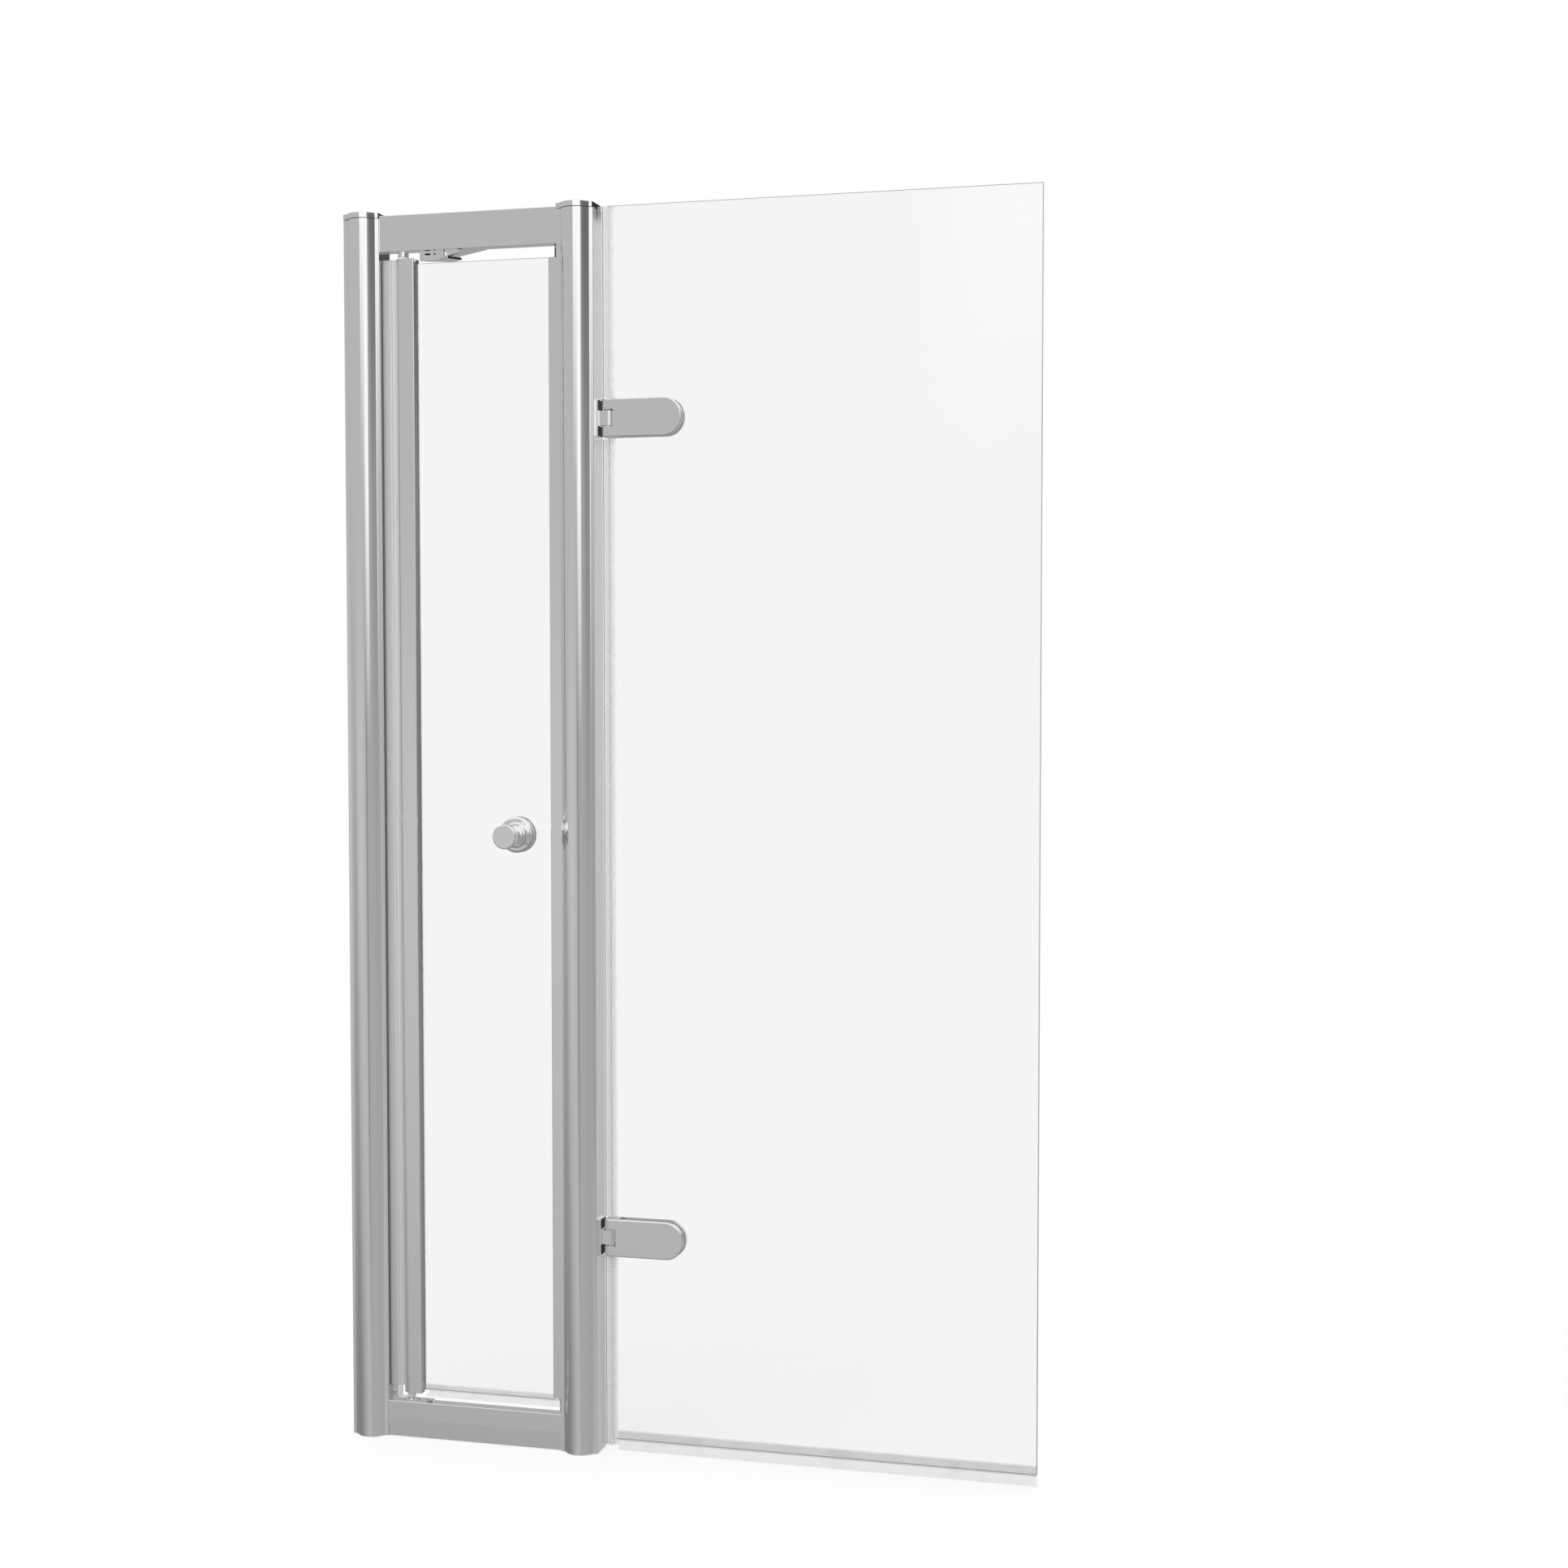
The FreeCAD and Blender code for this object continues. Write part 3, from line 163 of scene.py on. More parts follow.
# Room that polished metal mirrors: cards and shades laid over a grey wall, the later ones on top.
# Each has four compass places in degrees, four heights and a grey level. It starts at the first place, is
# full from the second to the third and ends at the fourth, and so with its heights. 0 degrees is the room
# side and + is to the right; heights are sines of the angle above the horizon.
right_open = (400.0, 500.0)
foot_open = (-1.2, -1.1)
head_open = (1.1, 1.2)
shade_foot = -0.30
side_foot = -0.10
gap_head = -0.021
shade_head = 0.085
cap_foot = 0.1955
cap_head = (0.208, 0.216)
corner_edge = (145.0, 166.0)
strip_edge = (157.0, 160.0)
card_level = 1.02
wall_turn = (-180.0, -110.0)
wall_levels = (0.42, 0.49)
room_cards = {
    "front_wall": ((-5.0, 20.0, *right_open), (*foot_open, *head_open), 0.405),
    "left_floor_shade": ((-210.0, -100.0, -85.0, 5.0), (*foot_open, shade_foot, shade_head), 0.225),
    "left_pool": ((-100.0, -40.0, -26.0, 2.0), (shade_foot, -0.08, gap_head, shade_head), 0.55),
    "dark_gap": ((-1.0, 10.0, 11.0, 21.5), (shade_foot, -0.18, gap_head, shade_head), 0.29),
    "right_corner": ((45.0, 140.0, *strip_edge), (*foot_open, *head_open), 0.26),
    "right_corner_head": ((64.0, 145.0, *corner_edge), (shade_foot, side_foot, *head_open), 0.14),
    "right_side": ((38.0, 110.0, *corner_edge), (side_foot, shade_head, *head_open), 0.13),
    "beside_the_card": ((38.0, 62.0, *strip_edge), (shade_head, cap_foot, *head_open), 0.15),
    "right_top": ((70.0, 110.0, *strip_edge), (shade_head, cap_foot, *head_open), 0.06),
    "tall_card": ((1.0, 27.0, 37.0, 43.0), (-0.026, shade_head, *head_open), card_level),
    "wide_card": ((-12.0, -9.0, 42.0, 46.0), (shade_head, cap_foot, *head_open), card_level),
    "back_strip": ((*strip_edge, *right_open), (*foot_open, *head_open), 0.49),
    "back_strip_head": ((*strip_edge, *right_open), (shade_foot, cap_foot, *head_open), 0.69),
    "cap_band": ((85.0, 140.0, 167.0, 182.0), (cap_foot, 0.199, *cap_head), 0.03),
    "upper_back": ((30.0, 200.0, *right_open), (*cap_head, *head_open), 0.72),
}
foot_span = (-0.328, -0.340)
foot_dimming = 0.08
up_span = (0.35, 0.65)
up_level = 0.95
down_span = (-0.40, -0.70)
down_level = 0.27

# Finishes: film and grain, depths of bumps in metres, and what glass and vinyl let through
line_detail = 3.0
film_detail = 6.0
film_break = 0.62
film_span = (0.42, 0.72)
grain_detail = 2.0
line_depth = 0.00001
line_strength = 0.2
steel_depth = 0.00002
steel_strength = 0.3
plastic_depth = 0.00003
plastic_strength = 0.35
glass_index = 1.5
glass_shadow = 0.94
vinyl_run = (700.0, 700.0, 3.0)
clip_taper = 0.0065
clip_share = 0.45


def tree_of(owner):
    """An empty node tree of a material or world."""
    owner.use_nodes = True
    owner.node_tree.nodes.clear()
    return owner.node_tree


def add(tree, kind, **settings):
    """A new node with its settings."""
    node = tree.nodes.new(kind)
    for name, value in settings.items():
        setattr(node, name, value)
    return node


def feed(tree, source, target):
    """A link between two sockets."""
    tree.links.new(source, target)


def math_node(tree, operation, first, second=None):
    """A Math node; each operand is a socket or a number."""
    node = add(tree, "ShaderNodeMath", operation=operation)
    for place, value in zip(node.inputs, (first, second)):
        if value is None:
            continue
        if isinstance(value, (int, float)):
            place.default_value = value
        else:
            feed(tree, value, place)
    return node.outputs["Value"]


def rise(tree, value, start, end, first=0.0, last=1.0, kind="LINEAR"):
    """A number that goes from first to last as a value goes from start to end."""
    span = add(tree, "ShaderNodeMapRange", interpolation_type=kind)
    for name, number in (("From Min", start), ("From Max", end), ("To Min", first), ("To Max", last)):
        span.inputs[name].default_value = number
    feed(tree, value, span.inputs["Value"])
    return span.outputs["Result"]


def window(tree, value, edges, kind):
    """1 between the two inner edges and 0 past the outer ones: the lesser of a rise and a fall."""
    before = rise(tree, value, edges[0], edges[1], kind=kind)
    after = rise(tree, value, edges[3], edges[2], kind=kind)
    return math_node(tree, "MINIMUM", before, after)


def new_group(name, inputs, outputs):
    """A shader node group with float, vector and colour sockets, and its two ends."""
    group = bpy.data.node_groups.new(name, "ShaderNodeTree")
    for label, kind, value in inputs:
        socket = group.interface.new_socket(label, in_out="INPUT", socket_type=kind)
        socket.default_value = value
    for label, kind in outputs:
        group.interface.new_socket(label, in_out="OUTPUT", socket_type=kind)
    return group, group.nodes.new("NodeGroupInput"), group.nodes.new("NodeGroupOutput")


def drawn_lines_group():
    """Die lines of an extrusion: noise squeezed across the run and stretched along it."""
    group, start, end = new_group(
        "drawn_lines",
        [("Run", "NodeSocketVector", (900.0, 900.0, 2.0)), ("Roughness", "NodeSocketFloat", 0.1),
         ("Spread", "NodeSocketFloat", 0.05)],
        [("Roughness", "NodeSocketFloat"), ("Height", "NodeSocketFloat")],
    )
    place = add(group, "ShaderNodeTexCoord")
    scaled = add(group, "ShaderNodeVectorMath", operation="MULTIPLY")
    feed(group, place.outputs["Object"], scaled.inputs[0])
    feed(group, start.outputs["Run"], scaled.inputs[1])
    noise = add(group, "ShaderNodeTexNoise")
    noise.inputs["Scale"].default_value = 1.0
    noise.inputs["Detail"].default_value = line_detail
    feed(group, scaled.outputs["Vector"], noise.inputs["Vector"])
    spread = math_node(group, "MULTIPLY", noise.outputs["Fac"], start.outputs["Spread"])
    feed(group, math_node(group, "ADD", start.outputs["Roughness"], spread), end.inputs["Roughness"])
    feed(group, noise.outputs["Fac"], end.inputs["Height"])
    return group


def handling_film_group():
    """Faint film left by water and hands: large soft patches broken up by smaller ones."""
    group, start, end = new_group(
        "handling_film",
        [("Scale", "NodeSocketFloat", 14.0), ("Amount", "NodeSocketFloat", 0.03)],
        [("Film", "NodeSocketFloat")],
    )
    place = add(group, "ShaderNodeTexCoord")
    noise = add(group, "ShaderNodeTexNoise")
    noise.inputs["Detail"].default_value = film_detail
    noise.inputs["Roughness"].default_value = film_break
    feed(group, place.outputs["Object"], noise.inputs["Vector"])
    feed(group, start.outputs["Scale"], noise.inputs["Scale"])
    patches = rise(group, noise.outputs["Fac"], *film_span, kind="SMOOTHSTEP")
    feed(group, math_node(group, "MULTIPLY", patches, start.outputs["Amount"]), end.inputs["Film"])
    return group


def fine_grain_group():
    """Fine even grain of moulded plastic and bead-blasted metal."""
    group, start, end = new_group(
        "fine_grain",
        [("Scale", "NodeSocketFloat", 1800.0)],
        [("Height", "NodeSocketFloat")],
    )
    place = add(group, "ShaderNodeTexCoord")
    noise = add(group, "ShaderNodeTexNoise")
    noise.inputs["Detail"].default_value = grain_detail
    feed(group, place.outputs["Object"], noise.inputs["Vector"])
    feed(group, start.outputs["Scale"], noise.inputs["Scale"])
    feed(group, noise.outputs["Fac"], end.inputs["Height"])
    return group


drawn_lines = drawn_lines_group()
handling_film = handling_film_group()
fine_grain = fine_grain_group()


def use_group(tree, group, **values):
    """A group placed in a tree with its own values."""
    node = add(tree, "ShaderNodeGroup", node_tree=group)
    for name, value in values.items():
        node.inputs[name].default_value = value
    return node


def new_material(name):
    """A material with a Principled shader on its output."""
    material = bpy.data.materials.new(name)
    tree = tree_of(material)
    shader = add(tree, "ShaderNodeBsdfPrincipled")
    output = add(tree, "ShaderNodeOutputMaterial")
    feed(tree, shader.outputs["BSDF"], output.inputs["Surface"])
    return material, tree, shader


def see_through(tree, shader, share):
    """A material's shader mixed with a clear one by a share; gives back the clear one."""
    clear = add(tree, "ShaderNodeBsdfTransparent")
    mix = add(tree, "ShaderNodeMixShader")
    surface = shader.outputs["BSDF"].links[0].to_socket
    feed(tree, share, mix.inputs["Fac"])
    feed(tree, shader.outputs["BSDF"], mix.inputs[1])
    feed(tree, clear.outputs["BSDF"], mix.inputs[2])
    feed(tree, mix.outputs["Shader"], surface)
    return clear


def bump(tree, shader, height, distance, strength):
    """A Bump node in front of the shader's normal."""
    node = add(tree, "ShaderNodeBump")
    node.inputs["Strength"].default_value = strength
    node.inputs["Distance"].default_value = distance
    feed(tree, height, node.inputs["Height"])
    feed(tree, node.outputs["Normal"], shader.inputs["Normal"])


def extruded_metal(name, colour, run, roughness, spread, smear):
    """Polished extrusion with die lines along its run and a faint film."""
    material, tree, shader = new_material(name)
    shader.inputs["Base Color"].default_value = (*colour, 1.0)
    shader.inputs["Metallic"].default_value = 1.0
    lines = use_group(tree, drawn_lines, Run=run, Roughness=roughness, Spread=spread)
    film = use_group(tree, handling_film, Scale=9.0, Amount=smear)
    roughened = math_node(tree, "ADD", lines.outputs["Roughness"], film.outputs["Film"])
    feed(tree, roughened, shader.inputs["Roughness"])
    bump(tree, shader, lines.outputs["Height"], line_depth, line_strength)
    return material


def bright_metal(name, colour, roughness):
    """Plated fitting: nearly a mirror, with a faint film."""
    material, tree, shader = new_material(name)
    shader.inputs["Base Color"].default_value = (*colour, 1.0)
    shader.inputs["Metallic"].default_value = 1.0
    film = use_group(tree, handling_film, Scale=40.0, Amount=0.03)
    feed(tree, math_node(tree, "ADD", film.outputs["Film"], roughness), shader.inputs["Roughness"])
    return material


def plain_steel(name, colour, roughness):
    """Screw steel with a fine blasted grain."""
    material, tree, shader = new_material(name)
    shader.inputs["Base Color"].default_value = (*colour, 1.0)
    shader.inputs["Metallic"].default_value = 1.0
    film = use_group(tree, handling_film, Scale=120.0, Amount=0.15)
    feed(tree, math_node(tree, "ADD", film.outputs["Film"], roughness), shader.inputs["Roughness"])
    grain = use_group(tree, fine_grain, Scale=2500.0)
    bump(tree, shader, grain.outputs["Height"], steel_depth, steel_strength)
    return material


def clear_glass(name, colour, clouded, film_scale):
    """Clear glass with a faint film in its colour; lamps pass through it to what is behind."""
    material, tree, shader = new_material(name)
    shader.inputs["Transmission Weight"].default_value = 1.0
    shader.inputs["IOR"].default_value = glass_index
    shader.inputs["Roughness"].default_value = 0.0
    film = use_group(tree, handling_film, Scale=film_scale, Amount=1.0)
    tint = add(tree, "ShaderNodeMix", data_type="RGBA")
    tint.inputs["A"].default_value = (*colour, 1.0)
    tint.inputs["B"].default_value = (*clouded, 1.0)
    feed(tree, film.outputs["Film"], tint.inputs["Factor"])
    feed(tree, tint.outputs["Result"], shader.inputs["Base Color"])
    path = add(tree, "ShaderNodeLightPath")
    through = see_through(tree, shader, path.outputs["Is Shadow Ray"])
    through.inputs["Color"].default_value = (glass_shadow, glass_shadow, glass_shadow, 1.0)
    return material


def soft_vinyl(name, colour, body, bloom, taper=None):
    """Thin clear vinyl: each face holds back a little of what is behind it, more where it has bloomed.

    A taper, as two places along x and the shares that are left at both, thins it towards an edge.
    """
    material, tree, shader = new_material(name)
    shader.inputs["Base Color"].default_value = (*colour, 1.0)
    lines = use_group(tree, drawn_lines, Run=vinyl_run, Roughness=0.18, Spread=0.12)
    feed(tree, lines.outputs["Roughness"], shader.inputs["Roughness"])
    film = use_group(tree, handling_film, Scale=30.0, Amount=bloom)
    hold = math_node(tree, "ADD", film.outputs["Film"], body)
    if taper:
        parts = add(tree, "ShaderNodeSeparateXYZ")
        feed(tree, add(tree, "ShaderNodeTexCoord").outputs["Object"], parts.inputs["Vector"])
        hold = math_node(tree, "MULTIPLY", hold, rise(tree, parts.outputs["X"], *taper))
    feed(tree, hold, shader.inputs["Alpha"])
    return material


def moulded_plastic(name, colour, roughness, grain_scale):
    """Moulded or ground matt stuff with a fine grain."""
    material, tree, shader = new_material(name)
    shader.inputs["Base Color"].default_value = (*colour, 1.0)
    film = use_group(tree, handling_film, Scale=60.0, Amount=0.1)
    feed(tree, math_node(tree, "ADD", film.outputs["Film"], roughness), shader.inputs["Roughness"])
    grain = use_group(tree, fine_grain, Scale=grain_scale)
    bump(tree, shader, grain.outputs["Height"], plastic_depth, plastic_strength)
    return material


along_z = (900.0, 900.0, 2.5)
along_x = (2.5, 900.0, 900.0)
bright_grey = (0.93, 0.93, 0.935)
upright_metal = extruded_metal("polished_upright", bright_grey, along_z, 0.02, 0.03, 0.02)
rail_metal = extruded_metal("polished_rail", bright_grey, along_x, 0.04, 0.04, 0.03)
channel_metal = extruded_metal("mill_channel", (0.70, 0.70, 0.71), along_z, 0.22, 0.15, 0.05)
plated_metal = bright_metal("plated_fitting", bright_grey, 0.02)
screw_steel = plain_steel("screw_steel", (0.62, 0.62, 0.63), 0.22)
pane_glass = clear_glass("pane_glass", (0.944, 0.943, 0.944), (0.937, 0.938, 0.938), 5.0)
seal_vinyl = soft_vinyl("seal_vinyl", (0.50, 0.50, 0.505), 0.13, 0.03)
fin_vinyl = soft_vinyl("fin_vinyl", (0.80, 0.80, 0.805), 0.68, 0.02)
block_vinyl = soft_vinyl("block_vinyl", (0.85, 0.85, 0.855), 0.42, 0.02)
clip_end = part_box("screen_edge_seal")[1][0]
clip_thinning = (clip_end - clip_taper, clip_end, 1.0, clip_share)
edge_vinyl = soft_vinyl("edge_vinyl", (0.90, 0.90, 0.905), 0.28, 0.02, clip_thinning)
gasket_vinyl = soft_vinyl("gasket_vinyl", (0.46, 0.46, 0.465), 0.60, 0.10)
nylon = moulded_plastic("white_nylon", (0.86, 0.86, 0.84), 0.42, 2200.0)
rubber = moulded_plastic("dark_rubber", (0.04, 0.04, 0.04), 0.55, 1600.0)
stop_rubber = moulded_plastic("stop_rubber", (0.14, 0.14, 0.14), 0.5, 1600.0)
rim_vinyl = moulded_plastic("rim_vinyl", (0.74, 0.74, 0.74), 0.4, 2400.0)
ground_edge = moulded_plastic("ground_edge", (0.59, 0.60, 0.60), 0.5, 3000.0)

finishes = {
    "polished_aluminium": upright_metal,
    "mill_aluminium": channel_metal,
    "chrome_fittings": plated_metal,
    "steel_screws": screw_steel,
    "clear_glass": pane_glass,
    "clear_seal": seal_vinyl,
    "white_nylon": nylon,
    "dark_rubber": rubber,
}
own_finish = {
    "top_rail": rail_metal,
    "bottom_rail": rail_metal,
    "stay_bracket": rail_metal,
    "strike_seal": stop_rubber,
    "pivot_seal": fin_vinyl,
    "seal_block": block_vinyl,
    "screen_edge_seal": edge_vinyl,
    "strike_gasket": gasket_vinyl,
}

for entry in frame["record"]["subparts"]:
    node = entry["node"]
    finish = own_finish.get(node, finishes[entry["material_slot"]])
    for place in frame["nodes"][node].material_slots:
        place.material = finish


def new_piece(name, points, faces, material, body):
    """A mesh piece that rides on a body."""
    mesh = bpy.data.meshes.new(name)
    mesh.from_pydata(points.tolist(), [], faces)
    mesh.materials.append(material)
    piece = bpy.data.objects.new(name, mesh)
    bpy.context.scene.collection.objects.link(piece)
    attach(piece, body)


def drawn_out(name, first, last, material, body):
    """A piece with one outline at its start and the same one at its end, joined by flat walls."""
    count = len(first)
    ring = np.arange(count)
    after = np.roll(ring, -1)
    walls = np.stack([ring, after, after + count, ring + count], axis=1).tolist()
    faces = walls + [(ring + count).tolist(), ring[::-1].tolist()]
    new_piece(name, np.vstack([first, last]), faces, material, body)


def upright(name, outline, foot, head, material, body):
    """An outline in plan drawn out from foot to head."""
    base = np.column_stack([outline, np.full(len(outline), foot)])
    drawn_out(name, base, base + (0.0, 0.0, head - foot), material, body)


def rounded(half_width, half_height, corner):
    """Outline of a rounded rectangle: quarter arcs round corner centres that are set in by the radius."""
    angles = np.linspace(0.0, np.pi / 2, corner_steps)[None, :] + np.pi / 2 * np.arange(4)[:, None]
    arcs = np.stack([np.cos(angles), np.sin(angles)], axis=2) * corner
    corners = np.array([(1, 1), (-1, 1), (-1, -1), (1, -1)])
    centres = corners * (half_width - corner, half_height - corner)
    return (centres[:, None, :] + arcs).reshape(-1, 2)


def swept(name, path, profile, material, body):
    """A closed (offset, y) profile carried along a path in x and z.

    At each point of the path the profile is set off along the mitre of the two side normals, so that its
    width is the same all along.
    """
    path = np.asarray(path, float)
    steps = np.diff(path, axis=0)
    steps /= np.linalg.norm(steps, axis=1)[:, None]
    sides = np.stack([steps[:, 1], -steps[:, 0]], axis=1)
    mitres = (sides[:-1] + sides[1:]) / (1.0 + np.sum(sides[:-1] * sides[1:], axis=1))[:, None]
    offsets = np.vstack([sides[:1], mitres, sides[-1:]])
    along = path[:, None, :] + offsets[:, None, :] * profile[None, :, :1]
    across = np.broadcast_to(profile[None, :, 1], along.shape[:2])
    points = np.stack([along[..., 0], across, along[..., 1]], axis=2).reshape(-1, 3)
    index = np.arange(len(points)).reshape(along.shape[:2])
    turned = np.roll(index, -1, axis=1)
    walls = np.stack([index[:-1], index[1:], turned[1:], turned[:-1]], axis=2).reshape(-1, 4).tolist()
    ends = [index[0].tolist(), index[-1, ::-1].tolist()]
    new_piece(name, points, walls + ends, material, body)


def ground_edges():
    """Ground edges of both panes: a thin L-shaped skin over the edge and the arris on the room side."""
    low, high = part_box("screen_glass")
    inner = (high[1] - low[1]) / 2 + edge_gap
    outer = inner + edge_skin
    rim = edge_gap + edge_skin
    profile = np.array([
        (-arris, -outer), (rim, -outer), (rim, inner), (edge_gap, inner), (edge_gap, -inner), (-arris, -inner),
    ])
    seal_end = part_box("screen_bottom_seal")[0][0]
    screen_path = [(seal_end, low[2]), (high[0], low[2]), (high[0], high[2]), (low[0], high[2])]
    swept("screen_pane_edge", screen_path, profile, ground_edge, "screen")
    low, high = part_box("door_glass")
    stile_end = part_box("hinge_gasket")[1][0]
    strike_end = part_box("strike_gasket")[0][0]
    for name, path in (("door_pane_foot", [(stile_end, low[2]), (strike_end, low[2])]),
                       ("door_pane_head", [(strike_end, high[2]), (stile_end, high[2])])):
        swept(name, path, profile, ground_edge, "door")


def hinge_gap_shades():
    """Painted shade in the hinges' gaps: a dark rounded plate on each hinge plate above and below each knuckle.
    """
    outline = rounded(gap_shade_half_depth, (gap_shade_end - gap_shade_start) / 2, gap_shade_corner)
    for node in ("lower_hinge_plate", "upper_hinge_plate"):
        low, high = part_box(node)
        face = low[0] + gap_shade_face
        middle = (low[2] + high[2]) / 2
        for end, side in (("head", 1.0), ("foot", -1.0)):
            height = middle + side * (gap_shade_start + gap_shade_end) / 2
            flat = np.column_stack([np.full(len(outline), face), outline[:, 0], outline[:, 1] + height])
            raised = flat + (gap_shade_thickness, 0.0, 0.0)
            # Painted shade: the dark rubber finish makes the gaps beside the knuckle read dark
            drawn_out(node + "_gap_shade_" + end, flat, raised, rubber, "frame")


def seal_edges():
    """Painted shade at the root of the pivot seal as a dark strip, and the soft lip at its tip.

    The dark strip is an L-shaped skin round the corner of the seal's base. The lip's middle line is a cubic
    Bezier curve that leaves the fin straight on and turns back along the stile; half its thickness is set off
    to both sides along the curve's normal, less towards the end.
    """
    low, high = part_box("pivot_seal")
    plane = (low[1] + high[1]) / 2
    root = low[0] + root_shade_depth
    root_shade = np.array([
        (root - root_shade_lap, low[1] - root_shade_skin), (root + root_shade_skin, low[1] - root_shade_skin),
        (root + root_shade_skin, low[1] + root_shade_side), (root, low[1] + root_shade_side), (root, low[1]),
        (root - root_shade_lap, low[1]),
    ])
    handles = np.array([
        (high[0] - lip_join, plane), (high[0] + lip_reach, plane),
        (high[0] + lip_reach, plane + lip_back * lip_bend), (high[0] + lip_reach, plane + lip_back),
    ])
    t = np.linspace(0.0, 1.0, lip_steps)[:, None]
    weights = np.hstack([(1 - t) ** 3, 3 * t * (1 - t) ** 2, 3 * t ** 2 * (1 - t), t ** 3])
    middle = weights @ handles
    run = np.gradient(middle, axis=0)
    run /= np.linalg.norm(run, axis=1)[:, None]
    side = np.column_stack([run[:, 1], -run[:, 0]]) * (lip_thickness / 2 * (1 - lip_thinning * t))
    lip = np.vstack([middle + side, (middle - side)[::-1]])
    # Painted shade: a dark strip along the seal's root darkens the gap at the post
    upright("pivot_seal_root_shade", root_shade, low[2], high[2], stop_rubber, "frame")
    upright("pivot_seal_lip", lip, low[2], high[2], fin_vinyl, "frame")


def edge_beads():
    """The bead of the screen's edge seal: a small rounded outline drawn out along each length of the seal.

    The lengths are the pairs of foot and head heights that the seal's mesh has.
    """
    seal = frame["nodes"]["screen_edge_seal"].data
    places = np.empty(len(seal.vertices) * 3)
    seal.vertices.foreach_get("co", places)
    lengths = np.unique(places[2::3].round(5)).reshape(-1, 2)
    outline = rounded(bead_half_width, bead_half_height, bead_corner)
    outline += (clip_end - bead_set_in, -bead_face)
    for end, (foot, head) in zip(("foot", "middle", "head"), lengths):
        upright("edge_bead_" + end, outline, foot, head, gasket_vinyl, "screen")


def leaf_rims():
    """Soft rims between glass and leaves: a flat band along each leaf's straight foot, round end and head."""
    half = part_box("screen_glass")[1][1]
    turn = np.linspace(-np.pi / 2, np.pi / 2, leaf_rim_steps)
    inner, outer = -rim_inset - leaf_rim_width, -rim_inset
    for leaf in ("lower_leaf", "upper_leaf"):
        low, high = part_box(leaf + "_front")
        radius = (high[2] - low[2]) / 2
        start = high[0] - leaf_rim_length
        centre = (high[0] - radius, low[2] + radius)
        bend = np.column_stack([np.cos(turn), np.sin(turn)]) * radius + centre
        path = np.vstack([[(start, low[2])], bend, [(start, high[2])]])
        for face, near in (("front", -half - rim_depth), ("back", half)):
            first, last = near + rim_gap, near + rim_depth - rim_gap
            profile = np.array([(inner, first), (outer, first), (outer, last), (inner, last)])
            swept(leaf + "_rim_" + face, path, profile, rim_vinyl, "screen")


def knob_rims():
    """Soft rings round the knob's washers: a flat profile turned about the knob's axis."""
    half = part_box("door_glass")[1][1]
    low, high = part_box("knob_back_plate")
    outer = (high[0] - low[0]) / 2 - rim_inset
    inner = outer - knob_rim_width
    angles = np.linspace(0.0, 2 * np.pi, knob_rim_steps, endpoint=False)[:, None]
    reach = np.array([inner, outer, outer, inner])[None, :]
    for face, near in (("front", -half - rim_depth), ("back", half)):
        first, last = near + rim_gap, near + rim_depth - rim_gap
        across = np.broadcast_to(np.array([first, first, last, last]), (knob_rim_steps, 4))
        along = (low[0] + high[0]) / 2 + reach * np.cos(angles)
        upward = (low[2] + high[2]) / 2 + reach * np.sin(angles)
        points = np.stack([along, across, upward], axis=2).reshape(-1, 3)
        index = np.arange(len(points)).reshape(knob_rim_steps, 4)
        beside = np.roll(index, -1, axis=1)
        ahead = np.roll(index, -1, axis=0)
        faces = np.stack([index, beside, np.roll(beside, -1, axis=0), ahead], axis=2).reshape(-1, 4)
        new_piece("knob_rim_" + face, points, faces.tolist(), rim_vinyl, "door")


def gap_rubbers():
    """Rubber in the gap over the door: rounded outlines in plan, drawn out upwards from what they sit on."""
    low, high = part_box("hinge_gasket")
    plug = rounded((high[0] - plug_inset - low[0]) / 2, high[1] - edge_gap, plug_corner)
    plug += ((high[0] - plug_inset + low[0]) / 2, 0.0)
    upright("slot_plug", plug, high[2] + edge_gap, high[2] + plug_height, rubber, "door")
    low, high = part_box("strike_seal")
    head = rounded((high[0] - low[0] + strike_lap) / 2, (high[1] - low[1]) / 2, strike_corner)
    head += ((high[0] + low[0] - strike_lap) / 2, (high[1] + low[1]) / 2 - edge_gap)
    foot = high[2] + edge_gap
    upright("strike_seal_head", head, foot, high[2] + strike_rise, stop_rubber, "frame")


def bracket_trim():
    """The buffer, the web and the dark pad of the bracket.

    The buffer is a rounded bar in plan, turned to lie along the line between its two ends. The web is its four
    corners drawn out upwards. The pad is a rounded outline behind the slot and the hole, drawn out along y.
    """
    first, last = np.array(buffer_start), np.array(buffer_end)
    length = np.linalg.norm(last - first)
    run = (last - first) / length
    out = np.array([run[1], -run[0]])
    bar = rounded(length / 2, buffer_thickness / 2, buffer_corner)[::-1]
    bar = (first + last) / 2 + out * buffer_thickness / 2 + bar[:, :1] * run + bar[:, 1:] * out
    upright("bracket_buffer", bar, buffer_foot, buffer_head, rubber, "frame")
    web = np.array(web_corners)
    upright("bracket_web", web, web_foot, web_foot + web_thickness, rail_metal, "frame")
    pad = rounded(pad_half_length, pad_half_height, pad_corner) + pad_middle
    near = np.column_stack([pad[:, 0], np.full(len(pad), pad_face), pad[:, 1]])
    drawn_out("bracket_pad", near + (0.0, pad_thickness, 0.0), near, rubber, "frame")


